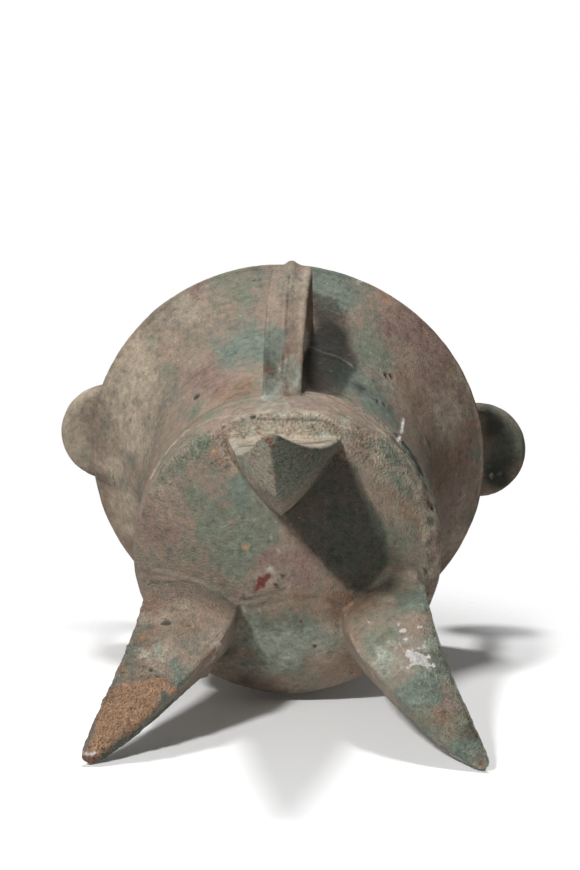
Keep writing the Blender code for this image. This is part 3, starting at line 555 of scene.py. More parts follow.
def leg_ring(index, t):
    """One section of a leg, t from 0 at the belly to 1 at the foot: a crowned outer face, two bowed ones."""
    down = max(0.0, t)
    left = max(0.0, 1 - t)
    root_width = LEG_ROOT_HALF_WIDTHS[index]
    width = (root_width - LEG_TIP_HALF_WIDTH) * min(1.0, left) ** LEG_WIDTH_TAPER + LEG_TIP_HALF_WIDTH
    outer = LEG_ROOT_RADII[index] + (LEG_TIP_RADIUS - LEG_ROOT_RADII[index]) * down**LEG_OUT_BEND
    ridge_root = RIDGE_ROOT_RADII[index]
    inner = ridge_root + (RIDGE_TIP_RADIUS - ridge_root) * down ** RIDGE_BENDS[index]
    outer_height = LEG_ROOT_HEIGHT * left
    inner_height = RIDGE_ROOT_HEIGHT * left
    if t < 0:
        outer_height = LEG_ROOT_HEIGHT + LEG_SUNK
        inner_height = RIDGE_ROOT_HEIGHT + LEG_SUNK * 2
    trim = LEG_FAR_TRIMS[index] * math.sin(math.pi * down)
    plus = width - max(0.0, trim)
    minus = -width - min(0.0, trim)
    size = width / root_width
    crown = LEG_FACE_CROWN * size
    bulge = LEG_SIDE_BULGE * size
    round_by = min(LEG_EDGE_ROUND, 0.3 * width)
    slant = math.hypot(outer - inner, width)
    to_side, inwards = (outer - inner) / slant, width / slant
    section = []
    for step in range(9):
        share = step / 8
        side = minus + round_by + (plus - minus - 2 * round_by) * share
        section.append((outer + crown * 4 * share * (1 - share), side, 0.0))
    section.append((outer - 0.3 * round_by, plus - 0.3 * round_by, 0.0))
    for sign, edge in ((1, plus), (-1, minus)):
        face = []
        for step in range(8):
            share = step / 7
            bow = bulge * 4 * share * (1 - share)
            start = np.array((outer - round_by, edge))
            end = np.array((inner + 0.5 * round_by, sign * 0.5 * round_by))
            place = start + (end - start) * share + bow * np.array((-inwards, sign * to_side))
            face.append((place[0], place[1], share))
        if sign < 0:
            face = [(inner, 0.0, 1.0)] + face[::-1]
        section += face
    section.append((outer - 0.3 * round_by, minus + 0.3 * round_by, 0.0))
    if index == 0:
        lift = FRONT_EDGE_LIFT * math.sin(math.pi * min(1.0, down) ** 0.85)
        lifts = [lift * max(0.0, side / width) ** 2 * (1 - share) for out, side, share in section]
        section = [(out + up, side, share) for up, (out, side, share) in zip(lifts, section)]
    azimuth = math.radians(LEG_AZIMUTHS[index])
    direction = np.array((math.cos(azimuth), math.sin(azimuth)))
    across = np.array((-direction[1], direction[0]))
    lean = np.array(LEG_LEANS[index]) * down + np.array(LEG_TIP_CURLS[index]) * down**4
    shift = np.array(RIDGE_ROOT_SHIFTS[index]) * min(1.0, left) ** 3
    ring = []
    for out, side, share in section:
        place = direction * out + across * side + lean + shift * share
        ring.append((place[0], place[1], outer_height + (inner_height - outer_height) * share))
    return np.array(ring)


def leg(index):
    shares = [-1.0] + [1 - (1 - step / LEG_RINGS) ** 1.35 for step in range(LEG_RINGS + 1)]
    return lofted([leg_ring(index, t) for t in shares])


def handle():
    path = curve(HANDLE_KEYS, 8)
    edge = HANDLE_EDGE_THICKNESS / 2
    crest = HANDLE_RIDGE_THICKNESS - edge
    rings = []
    for index, point in enumerate(path):
        along = path[min(len(path) - 1, index + 1)] - path[max(0, index - 1)]
        along = along / np.linalg.norm(along)
        outward = np.array((-along[1], along[0]))
        share = index / (len(path) - 1)
        half = (HANDLE_TOP_WIDTH + (HANDLE_FOOT_WIDTH - HANDLE_TOP_WIDTH) * share) / 2
        moved = max(0.0, 2 * share - 1)
        shift = HANDLE_TOP_SHIFT + (HANDLE_FOOT_SHIFT - HANDLE_TOP_SHIFT) * moved
        section = [(-half, -edge), (-half, edge * 0.5), (-half * 0.94, edge * 0.9)]
        section += [(-half * 0.84, edge * 1.15), (-half * 0.72, edge * 0.75)]
        section.append((-half * 0.3, edge + (crest - edge) * 0.45))
        section.append((-half * 0.1, crest * 0.97))
        section += [(-x, y) for x, y in section[::-1]]
        ring = []
        for side, out in section:
            place = point + outward * out
            ring.append((shift + side, -place[0], place[1]))
        rings.append(np.array(ring))
    return lofted(rings)


def post(index, share=1.0, wider=0.0):
    """A post, or its lower share, its section wider by a hair where it joins the lip again after the cut."""
    foot = np.array(POST_FEET[index])
    top = np.array(CAP_CENTRES[index])
    out = foot / np.linalg.norm(foot)
    across = np.array((-out[1], out[0]))
    slope = (RIM_HEIGHT - FLARE[1]) / (RIM_RADIUS - FLARE[0])
    corners = []
    for a, b in ((1, 0), (0, 1), (-1, 0), (0, -1)):
        for k in (-0.85, 0.0, 0.85):
            corners.append((a + k * -b, b + k * a))
    rings = []
    for step in range(14):
        t = share * step / 13
        half = (POST_SIDE + (POST_TOP_SIDE - POST_SIDE) * t) / 2 + wider
        centre = foot + (top - foot) * t
        ring = []
        for a, b in corners:
            place = centre + out * half * a + across * half * b
            start = RIM_HEIGHT - 0.0016 - half * (1 - a) * slope
            ring.append((place[0], place[1], start + (CAP_HEIGHT + CAP_EDGE - start) * t))
        rings.append(np.array(ring))
    return lofted(rings)


def as_mesh(name, forms):
    """One mesh from several (points, faces)."""
    points, faces, start = [], [], 0
    for form_points, form_faces in forms:
        points.append(form_points)
        faces += [tuple(i + start for i in face) for face in form_faces]
        start += len(form_points)
    mesh = bpy.data.meshes.new(name)
    mesh.from_pydata(np.concatenate(points).tolist(), [], faces)
    mesh.validate()
    mesh.update()
    return mesh


def linked(name, mesh):
    obj = bpy.data.objects.new(name, mesh)
    bpy.context.scene.collection.objects.link(obj)
    return obj


def applied(obj):
    """The object's mesh with its modifiers applied."""
    graph = bpy.context.evaluated_depsgraph_get()
    mesh = bpy.data.meshes.new_from_object(obj.evaluated_get(graph))
    obj.modifiers.clear()
    obj.data = mesh
    return obj


def facing_out(mesh):
    bm = bmesh.new()
    bm.from_mesh(mesh)
    bmesh.ops.recalc_face_normals(bm, faces=bm.faces)
    bm.to_mesh(mesh)
    bm.free()


def combined(body, operation, form):
    """Adds a closed form to the body, or takes it away."""
    points, faces = form
    points[:, :2] += AXIS
    other = linked("other_form", as_mesh("other_form", [(points, faces)]))
    facing_out(other.data)
    join = body.modifiers.new("Join or cut", "BOOLEAN")
    join.operation = operation
    join.solver = "MANIFOLD"
    join.object = other
    applied(body)
    bpy.data.objects.remove(other, do_unlink=True)


def build_form():
    """The vessel as one closed skin, hollow, true to its forms."""
    forms = [turned(outer_profile(), BODY_STEPS, oval=True), handle()]
    forms += [leg(index) for index in range(3)]
    for index in range(2):
        forms.append(post(index))
        forms.append(turned(CAP_KEYS, CAP_STEPS, CAP_CENTRES[index], CAP_HEIGHT))
    for form in forms:
        form[0][:, :2] += AXIS
    body = linked("jia_body", as_mesh("jia_body", forms))
    facing_out(body.data)
    remesh = body.modifiers.new("Cast as one", "REMESH")
    remesh.mode = "VOXEL"
    remesh.voxel_size = VOXEL
    smooth = body.modifiers.new("Soften", "SMOOTH")
    smooth.factor = 0.5
    smooth.iterations = 3
    applied(body)
    true_form = linked("true_form", as_mesh("true_form", forms))
    facing_out(true_form.data)
    onto = body.modifiers.new("True to form", "SHRINKWRAP")
    onto.target = true_form
    onto.wrap_method = "NEAREST_SURFACEPOINT"
    settle = body.modifiers.new("Settle", "SMOOTH")
    settle.factor = 0.35
    settle.iterations = 1
    applied(body)
    bpy.data.objects.remove(true_form, do_unlink=True)
    combined(body, "UNION", turned(lip_profile(), LIP_STEPS, oval=True))
    combined(body, "DIFFERENCE", turned(cavity_profile(), CAVITY_STEPS, oval=True))
    for index in range(2):
        combined(body, "UNION", post(index, POST_FOOT_SHARE, POST_FOOT_WIDER))
    return body


def noise(points, size, seed):
    """Smooth gradient noise of about -1 to 1, with features of that size."""
    rng = np.random.default_rng(seed)
    table = rng.permutation(256)
    slopes = rng.normal(size=(256, 3))
    slopes /= np.linalg.norm(slopes, axis=1)[:, None]
    q = points / size + rng.uniform(0, 100, 3)
    cell = np.floor(q).astype(int)
    f = q - cell
    w = f**3 * (f * (f * 6 - 15) + 10)
    total = np.zeros(len(points))
    for corner in itertools.product((0, 1), repeat=3):
        c = cell + corner
        h = table[(table[(table[c[:, 0] & 255] + c[:, 1]) & 255] + c[:, 2]) & 255]
        weight = np.prod(np.where(np.array(corner, bool), w, 1 - w), axis=1)
        total += weight * np.einsum("ij,ij->i", slopes[h], f - corner)
    return total * 1.6


def noise_sum(points, layers):
    return sum(height * noise(points, size, seed) for height, size, seed in layers)


def smoothstep(low, high, x):
    t = np.clip((x - low) / (high - low), 0, 1)
    return t * t * (3 - 2 * t)


def coords(mesh):
    points = np.empty(len(mesh.vertices) * 3)
    mesh.vertices.foreach_get("co", points)
    return points.reshape(-1, 3)


def normals(mesh):
    values = np.empty(len(mesh.vertices) * 3, np.float32)
    mesh.vertex_normals.foreach_get("vector", values)
    return values.reshape(-1, 3).astype(float)


def put(mesh, name, values):
    attribute = mesh.attributes.new(name, "FLOAT", "POINT")
    attribute.data.foreach_set("value", np.ascontiguousarray(values, np.float32))


def near_line(points, places):
    """Distance of each point from a line through the places."""
    near = np.full(len(points), 1e9)
    for start, end in zip(places, places[1:]):
        along = end - start
        t = np.clip((points - start) @ along / (along @ along), 0, 1)
        near = np.minimum(near, np.linalg.norm(points - start - t[:, None] * along, axis=1))
    return near


def camera_axes():
    """The camera's right, up and forward."""
    forward, up, right = Vector((0, 0, 1)), Vector((0, -1, 0)), Vector((1, 0, 0))
    turn = Matrix.Rotation(CAMERA_PITCH, 3, right)
    forward, up = turn @ forward, turn @ up
    turn = Matrix.Rotation(CAMERA_YAW, 3, up)
    forward, right = turn @ forward, turn @ right
    turn = Matrix.Rotation(CAMERA_ROLL, 3, forward)
    up, right = turn @ up, turn @ right
    return right, up, forward


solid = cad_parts["jia_vessel"].data
solid_faces = [tuple(polygon.vertices) for polygon in solid.polygons]
solid_tree = BVHTree.FromPolygons([vertex.co for vertex in solid.vertices], solid_faces)


def shown(across, down):
    """The place on the solid, in metres, that a pixel of the photograph shows, or the nearest beside it."""
    right, up, forward = camera_axes()
    for more_across, more_down in NEAREST_PIXELS:
        off_right = across + more_across - PHOTO_WIDTH / 2
        off_down = down + more_down - PHOTO_HEIGHT / 2
        way = forward * FOCAL_PIXELS + right * off_right - up * off_down
        place = solid_tree.ray_cast(CAMERA_PLACE, way.normalized())[0]
        if place is not None:
            return np.array(place)
    raise ValueError("no place on the solid near that pixel")


def patch_places(rows):
    """(place, reach, strength) of each patch in metres, to a millimetre, or to a tenth where it is small."""
    patches = []
    for across, down, reach, strength in rows:
        place = shown(across, down)
        reach = reach * math.dist(place, CAMERA_PLACE) / FOCAL_PIXELS
        patches.append((np.round(place, 4 if reach < FINE_PATCH else 3), round(reach, 4), strength))
    return patches


PATCHES = {kind: patch_places(rows) for kind, rows in SPOTS.items()}
LINES = {name: np.round([shown(*pixel) for pixel in line[2]], 4) for name, line in STROKES.items()}


def refine(obj):
    """Splits the faces round the lines, on the crust and on the leg beside it, to hold finer relief."""
    points = coords(obj.data)
    near = np.zeros(len(points), bool)
    for places in LINES.values():
        near |= near_line(points, places) < FINE_ROUND_LINES
    near |= (points[:, 0] < -0.032) & (points[:, 1] > 0.005) & (points[:, 2] < 0.070)
    near |= (points[:, 1] < -0.040) & (points[:, 2] < 0.080)
    bm = bmesh.new()
    bm.from_mesh(obj.data)
    edges = [edge for edge in bm.edges if near[edge.verts[0].index] and near[edge.verts[1].index]]
    bmesh.ops.subdivide_edges(bm, edges=edges, cuts=1, use_grid_fill=True)
    bmesh.ops.triangulate(bm, faces=[face for face in bm.faces if len(face.verts) > 4])
    bm.to_mesh(obj.data)
    bm.free()


body = build_form()
refine(body)
P = coords(body.data)
N = normals(body.data)
Q = P - (AXIS[0], AXIS[1], 0)
radius = np.hypot(Q[:, 0], Q[:, 1])
angle = np.degrees(np.arctan2(Q[:, 1], Q[:, 0]))
height = Q[:, 2]

# How far each point lies in each zone, from 0 to 1
side_points = np.array(side_curve(10))[::-1]
wall_radius = np.interp(height, side_points[:, 1], side_points[:, 0])
in_bowl = (radius < wall_radius - 0.0016) & (height > 0.1) & (height < RIM_HEIGHT + 0.001)
on_bowl_floor = (height > BOTTOM_HEIGHT + 0.0015) & (height < RIM_HEIGHT - 0.01)
on_bowl_floor &= (radius < BELLY_RADIUS - 0.0015) & (radius < wall_radius - 0.0012) & (N[:, 2] > 0.2)
inside = in_bowl | on_bowl_floor
outside = 1.0 - inside
warp = np.stack([noise(P, BEND_SIZE, 21 + k) for k in range(3)], 1) * BEND_DEPTH
leg_zone = outside * smoothstep(*LEG_TOP, height) * smoothstep(*LEG_START, radius)
bottom_zone = outside * smoothstep(*BOTTOM_EDGE, height) * (1 - leg_zone)
on_neck = outside * (np.abs(radius - wall_radius) < 0.004)
belly_side = outside * (np.abs(radius - BELLY_RADIUS) < 0.003) * (height > 0.085) * (height < 0.118)
of_front = leg_zone * (P[:, 1] < -0.020)
front_out = of_front * smoothstep(*FACING_FRONT, N[:, 1])
front_left = of_front * smoothstep(*FACING_LEFT, N[:, 0]) * (1 - front_out)
front_right = of_front * smoothstep(*FACING_RIGHT, N[:, 0]) * (1 - front_out)
front_band = outside * smoothstep(*BAND_FRONT, P[:, 1]) * smoothstep(*BAND_SIDES, np.abs(P[:, 0]))
front_band = front_band * smoothstep(*BAND_LOW, height) * smoothstep(*BAND_HIGH, height)
front_leg = outside * smoothstep(*FRONT_LEG_START, P[:, 1]) * (radius < 0.1)
front_leg = front_leg * smoothstep(*FRONT_LEG_TOP, P[:, 2])
rough_leg = smoothstep(*ROUGH_LEG_SIDE, P[:, 0]) * (P[:, 2] < ROUGH_LEG_TOP) * (P[:, 1] > 0.005) * outside
right_leg = leg_zone * (P[:, 0] > 0.025) * (P[:, 1] > 0)
turn_edge = angle + 9 * noise(P, BEND_SIZE, 70)
belly_turn = smoothstep(*TURN_START, turn_edge) * smoothstep(*TURN_END, turn_edge) * belly_side
belly_turn = belly_turn * smoothstep(*TURN_LOW, height)
belly_turn = belly_turn * smoothstep(*TURN_HIGH, height + 0.002 * noise(P, 0.008, 71))
belly_corner = smoothstep(*CORNER_START, angle) * smoothstep(*CORNER_END, angle) * outside
belly_corner = belly_corner * (radius > 0.053) * (radius < 0.062)
belly_corner = belly_corner * smoothstep(*CORNER_LOW, height) * smoothstep(*CORNER_HIGH, height)
away_side = smoothstep(*AWAY, N @ AWAY_DIRECTION) * outside
coarse = np.clip(0.12 + 0.42 * bottom_zone + 0.88 * leg_zone, 0, 1) * outside * (1 - 0.8 * front_band)


def band(centre, half, x):
    return np.exp(-(((x - centre) / half) ** 2))


def patch(kind):
    """How much of a kind of patina lies at each point, from its patches."""
    total = np.zeros(len(P))
    wider = SOFT_REACH.get(kind, 1.0)
    for place, reach, strength in PATCHES[kind]:
        offset = P + warp - place
        if place[2] > WALL_PATCH_START:
            offset = offset * (1, 1, WALL_PATCH_DRAWN)
        total += strength * np.exp(-(offset**2).sum(1) / (wider * reach) ** 2)
    return total * outside


def stroke(name):
    """How near each point is to a line, from 0 to 1."""
    half = STROKES[name][0] * MM
    return np.exp(-((near_line(P + 0.25 * warp, LINES[name]) / half) ** 2)) * outside


def small_holes():
    """The strongest of the small dark patches are holes in the metal."""
    holes = np.zeros(len(P))
    for place, reach, strength in PATCHES["dark"]:
        if strength > HOLE_LEAST_STRENGTH and reach < HOLE_MOST_REACH:
            away = ((P + 0.2 * warp - place) ** 2).sum(1) / reach**2
            holes = np.maximum(holes, smoothstep(1.3, 0.25, away) * outside)
    return holes


def inside_outline(corners):
    """How far each point lies inside an outline seen along the height, and under zero outside it."""
    points = P[:, :2] + 0.5 * warp[:, :2]
    within = np.zeros(len(P), bool)
    for start, end in zip(corners, np.roll(corners, -1, axis=0)):
        along = end - start
        crossing = (start[1] > points[:, 1]) != (end[1] > points[:, 1])
        within ^= crossing & (points[:, 0] < start[0] + (points[:, 1] - start[1]) * along[0] / along[1])
    away = near_line(points, [*corners, corners[0]])
    return np.where(within, away, -away)


masks = {kind: patch(kind) for kind in SPOTS}
lines = {name: stroke(name) for name in STROKES}


def tint(zone, **shares):
    """Adds shares of kinds of patina to a zone."""
    for kind, share in shares.items():
        masks[kind] = masks[kind] + share * zone


def relief():
    """How far each point moves out along its normal, in metres."""
    lift = noise_sum(P, CASTING_NOISE) + coarse * noise_sum(P, COARSE_NOISE)
    wobble = 0.0003 * noise(P, 0.03, 11)
    for zone, centre, half, depth in TURNED_LINES:
        lift += {"neck": on_neck, "belly": belly_side}[zone] * depth * band(centre + wobble, half, height)
    for name, near in lines.items():
        lift += near * STROKES[name][1] * MM
    lift += belly_turn * noise_sum(P, TURN_NOISE)
    lift += crust * (CRUST_HEIGHT + noise_sum(P, CRUST_NOISE))
    lift += rough_leg * noise_sum(P, ROUGH_LEG_NOISE)
    lift += lines["left_leg_bump"] * noise_sum(P, BUMP_NOISE)
    lift += np.maximum(front_out, front_band) * 0.00010 * noise(P * (0.18, 1, 1), 0.0012, 69)
    grain = noise(P * (1, 0.9, 0.12) + P[:, [2]] * (0, -0.05, 0), 0.0011, 37)
    lift += leg_zone * smoothstep(*FRONT_GRAIN_START, P[:, 1]) * 0.00018 * grain * (1 - front_out)
    lift -= PIT_DEPTH * pits * (0.4 + 0.6 * rough_leg)
    lift -= HOLE_DEPTH * holes
    return lift


crust = np.clip(masks["sand"], 0, 1) * smoothstep(*CRUST_SIDE, P[:, 0]) * (P[:, 2] < CRUST_TOP)
pits = smoothstep(0.42, 0.75, noise(P, 0.0022, 41)) * outside
holes = small_holes()
moved = P + N * relief()[:, None]
lo, hi = (np.array(c) for c in cad_box)
moved = np.clip(moved, lo + BOX_MARGIN, hi - BOX_MARGIN)
body.data.vertices.foreach_set("co", moved.reshape(-1))
body.data.update()

# Painted shadow of the front leg on the bottom: darker and greener inside its outline
painted_shadow_corners = [shown(*pixel)[:2] for pixel in FRONT_SHADE_SEEN]
painted_shadow_corners += [np.array(place) * MM for place in FRONT_SHADE_HIDDEN]
front_leg_painted_shadow = smoothstep(*FRONT_SHADE_EDGE, inside_outline(np.array(painted_shadow_corners))) * bottom_zone
masks["dim"] = masks["dim"] * (1 - 0.5 * front_leg_painted_shadow)
masks["brown"] = masks["brown"] * (1 - 0.6 * front_leg_painted_shadow)
tint(front_leg_painted_shadow, dim=0.62, olive=0.5)

# Turn of the belly towards the right, darker and mottled: its darkening is partly painted shade where the
# wall turns from the light
mottle = noise(P, 0.006, 63) + 0.5 * noise(P, 0.0025, 64)
tint(belly_turn, dim=0.26 + 0.45 * mottle, teal=0.5 - 0.7 * mottle, brown=0.4 + 0.9 * mottle)
tint(belly_corner, olive=0.15 + 0.6 * mottle, buff=0.45 - 0.6 * mottle)

# Sides of the legs that face each other are greener and darker than the ones that face out
for leg_index, greener, darker in ((1, 0.65, 0.25), (2, 0.35, 0.20)):
    azimuth = math.radians(LEG_AZIMUTHS[leg_index])
    out_way = np.array((math.cos(azimuth), math.sin(azimuth), 0.0))
    of_leg = leg_zone * ((Q @ out_way) > 0.02)
    tint(of_leg * smoothstep(0.35, 0.05, N @ out_way), olive=greener, dim=darker)
tint(right_leg, grey=0.28, dim=0.16 * smoothstep(*RIGHT_LEG_DIM, height))
tint(
    lines["left_leg_bump"],
    dark=0.8 * smoothstep(0.05, 0.4, noise(P, 0.0018, 65)),
    pale=0.9 * smoothstep(0.05, 0.4, noise(P, 0.0018, 66)),
)
tint(
    rough_leg,
    dark=0.55 * (1 - 0.5 * crust) * smoothstep(0.30, 0.65, noise(P, 0.0017, 67)),
    pale=0.60 * (1 - crust) * smoothstep(0.25, 0.60, noise(P, 0.0018, 68)),
)
tint(front_left, grey=0.45, buff=0.85)
tint(front_out, grey=0.45, buff=0.65)
tint(front_band, grey=0.3, buff=0.5, mauve=0.55 * smoothstep(*BAND_MAUVE, height))
# Painted shade on the front leg's face that turns away from the key light
tint(front_right, olive=0.8, dim=0.20)
for kind, size, seed, share in FAR_SIDE:
    spread = noise(P, size, seed) + 0.4 * noise(P, size / 3, seed + 10)
    tint(away_side, **{kind: share * smoothstep(0.15, 0.6, spread)})
masks["mauve"] = np.maximum(masks["mauve"], 1.2 * lines["pink_streak"] + 1.1 * lines["left_leg_bump"])
brown_lines = lines["front_crease_left"] + lines["front_crease_right"] + lines["brown_line"]
masks["brown"] = np.maximum(masks["brown"], brown_lines)

# What the material reads
coarse = np.clip(coarse + 0.30 * belly_corner + 0.5 * belly_turn - 0.75 * front_out, 0, 1)
fields = {kind: np.clip(values, 0, 1.5) for kind, values in masks.items()}
fields["dark_line"] = np.max([share * lines[name] for name, share in DARK_LINES.items()] + [holes], axis=0)
fields["light_line"] = np.max([share * lines[name] for name, share in LIGHT_LINES.items()], axis=0)
fields["bright_line"] = smoothstep(0.2, 0.6, np.max([lines[name] for name in BRIGHT_LINES], axis=0))
fields["inner_side"] = inside.astype(float)
fields["coarse"] = np.clip(coarse + 0.5 * crust + 0.35 * rough_leg, 0, 1.4)
fields["turned"] = outside * np.clip(on_neck + belly_side - belly_corner, 0, 1)
fields["front_leg"] = front_leg * (1 - front_out)
fields["pitted"] = pits
fields["crusty"] = crust
for name, values in fields.items():
    put(body.data, name, values)


def thin_out(obj):
    """Brings the mesh under its limit, mostly on the sides that the photograph doesn't show."""
    mesh = obj.data
    mesh.calc_loop_triangles()
    share = MOST_TRIANGLES / len(mesh.loop_triangles)
    if share >= 1:
        return
    group = obj.vertex_groups.new(name="thin")
    hidden = np.maximum(smoothstep(*THIN_AWAY, N @ AWAY_DIRECTION), inside)
    weights = np.clip(0.25 + 0.75 * hidden, 0, 1)
    weights[(height > RIM_HEIGHT - 0.007) & (radius > RIM_RADIUS - 0.006)] = 0.25
    weights[height > CAP_HEIGHT - 0.001] = 0.5
    on_lines = (height > 0.106) & (height < 0.117) & (radius > BELLY_RADIUS - 0.003)
    on_lines |= np.abs(height - CORD[1]) < 0.004
    weights[on_lines] = np.minimum(weights[on_lines], 0.5)
    for level in range(5):
        chosen = np.where(np.round(weights * 4) == level)[0]
        group.add(chosen.tolist(), level / 4, "REPLACE")
    thin = obj.modifiers.new("Thin out", "DECIMATE")
    thin.ratio = share
    thin.vertex_group = "thin"
    thin.vertex_group_factor = 1.0
    applied(obj)


thin_out(body)
for polygon in body.data.polygons:
    polygon.use_smooth = True


def tone(text):
    """Linear colour from six sRGB hex digits."""
    values = [int(text[i : i + 2], 16) / 255 for i in (0, 2, 4)]
    return tuple(v / 12.92 if v <= 0.04045 else ((v + 0.055) / 1.055) ** 2.4 for v in values) + (1.0,)


class Graph:
    """A material's nodes, with one short call for each kind."""

    def __init__(self, name):
        self.material = bpy.data.materials.new(name)
        self.material.use_nodes = True
        self.nodes = self.material.node_tree.nodes
        self.links = self.material.node_tree.links
        self.shader = self.nodes["Principled BSDF"]
        self.place = self.nodes.new("ShaderNodeTexCoord").outputs["Object"]

    def set(self, socket, value):
        if hasattr(value, "is_linked"):
            self.links.new(value, socket)
        else:
            socket.default_value = value

    def math(self, operation, *values):
        node = self.nodes.new("ShaderNodeMath")
        node.operation = operation
        for socket, value in zip(node.inputs, values):
            self.set(socket, value)
        return node.outputs[0]

    def noise(self, scale, detail=4.0, rough=0.6, warp=0.0, seed=0.0):
        node = self.nodes.new("ShaderNodeTexNoise")
        node.noise_dimensions = "4D"
        node.inputs["W"].default_value = seed
        self.links.new(self.place, node.inputs["Vector"])
        node.inputs["Scale"].default_value = scale
        node.inputs["Detail"].default_value = detail
        node.inputs["Roughness"].default_value = rough
        node.inputs["Distortion"].default_value = warp
        return node.outputs["Fac"]

    def cells(self, scale):
        node = self.nodes.new("ShaderNodeTexVoronoi")
        self.links.new(self.place, node.inputs["Vector"])
        node.inputs["Scale"].default_value = scale
        return node.outputs["Distance"]

    def stretched(self, scale, lean, detail):
        """Noise about zero drawn out along one direction, like fine grain or a turned form's lines."""
        turn = self.nodes.new("ShaderNodeMapping")
        turn.inputs["Rotation"].default_value = (lean, 0, 0)
        turn.inputs["Scale"].default_value = scale
        self.links.new(self.place, turn.inputs["Vector"])
        node = self.nodes.new("ShaderNodeTexNoise")
        node.inputs["Scale"].default_value = 1.0
        node.inputs["Detail"].default_value = detail
        self.links.new(turn.outputs["Vector"], node.inputs["Vector"])
        return self.centred(node.outputs["Fac"])

    def times(self, first, second):
        return self.math("MULTIPLY", first, second)

    def plus(self, base, part, share):
        """The base with a share of another value added."""
        return self.math("MULTIPLY_ADD", part, share, base)

    def centred(self, value):
        return self.math("SUBTRACT", value, 0.5)

    def field(self, name):
        node = self.nodes.new("ShaderNodeAttribute")
        node.attribute_name = name
        return node.outputs["Fac"]

    def step(self, value, low, high, out_low=0.0, out_high=1.0):
        node = self.nodes.new("ShaderNodeMapRange")
        node.interpolation_type = "SMOOTHSTEP"
        for index, number in enumerate((value, low, high, out_low, out_high)):
            self.set(node.inputs[index], number)
        return node.outputs["Result"]

    def scaled(self, colour, factor):
        node = self.nodes.new("ShaderNodeVectorMath")
        node.operation = "SCALE"
        self.set(node.inputs[0], colour)
        self.set(node.inputs["Scale"], factor)
        return node.outputs[0]

    def mix(self, share, first, second):
        node = self.nodes.new("ShaderNodeMix")
        node.data_type = "RGBA"
        self.set(node.inputs["Factor"], share)
        self.set(node.inputs[6], first)
        self.set(node.inputs[7], second)
        return node.outputs[2]


# Colours of the patina, with painted light in buff and a painted highlight in glint, in the order that they
# lie over each other:
# mask, colour, noise scale, its share, share of fine noise, threshold, softness, opacity
LAYERS = (
    ("buff", "aa9c89", 90, 1.6, 0.6, 0.50, 0.90, 0.85),
    ("mauve", "7c665e", 110, 2.4, 0.9, 0.50, 0.90, 0.85),
    ("brown", "7a6452", 130, 2.4, 0.9, 0.55, 0.90, 0.85),
    ("olive", "697061", 100, 2.4, 1.0, 0.52, 0.90, 0.88),
    ("teal", "646f65", 120, 2.4, 1.0, 0.55, 0.90, 0.88),
    ("grey", "8c9184", 150, 2.2, 1.2, 0.55, 0.80, 0.85),
    ("sand", "9a785e", 300, 1.6, 1.0, 0.60, 0.50, 0.85),
    ("pale", "a59e92", 330, 2.4, 1.6, 0.75, 0.60, 0.70),
    ("red", "63282d", 300, 1.6, 1.2, 0.60, 0.40, 0.9),
    ("dark", "2c2f2b", 260, 1.6, 1.4, 0.62, 0.50, 0.85),
    ("copper", "7a5748", 300, 0.8, 0.4, 0.55, 0.3, 0.9),
    ("glint", "bab4b0", 420, 2.4, 1.8, 0.62, 0.30, 0.9),
)


LEG_GRAIN_LEAN = math.radians(-22)
BUMP_DEPTH = 0.0012


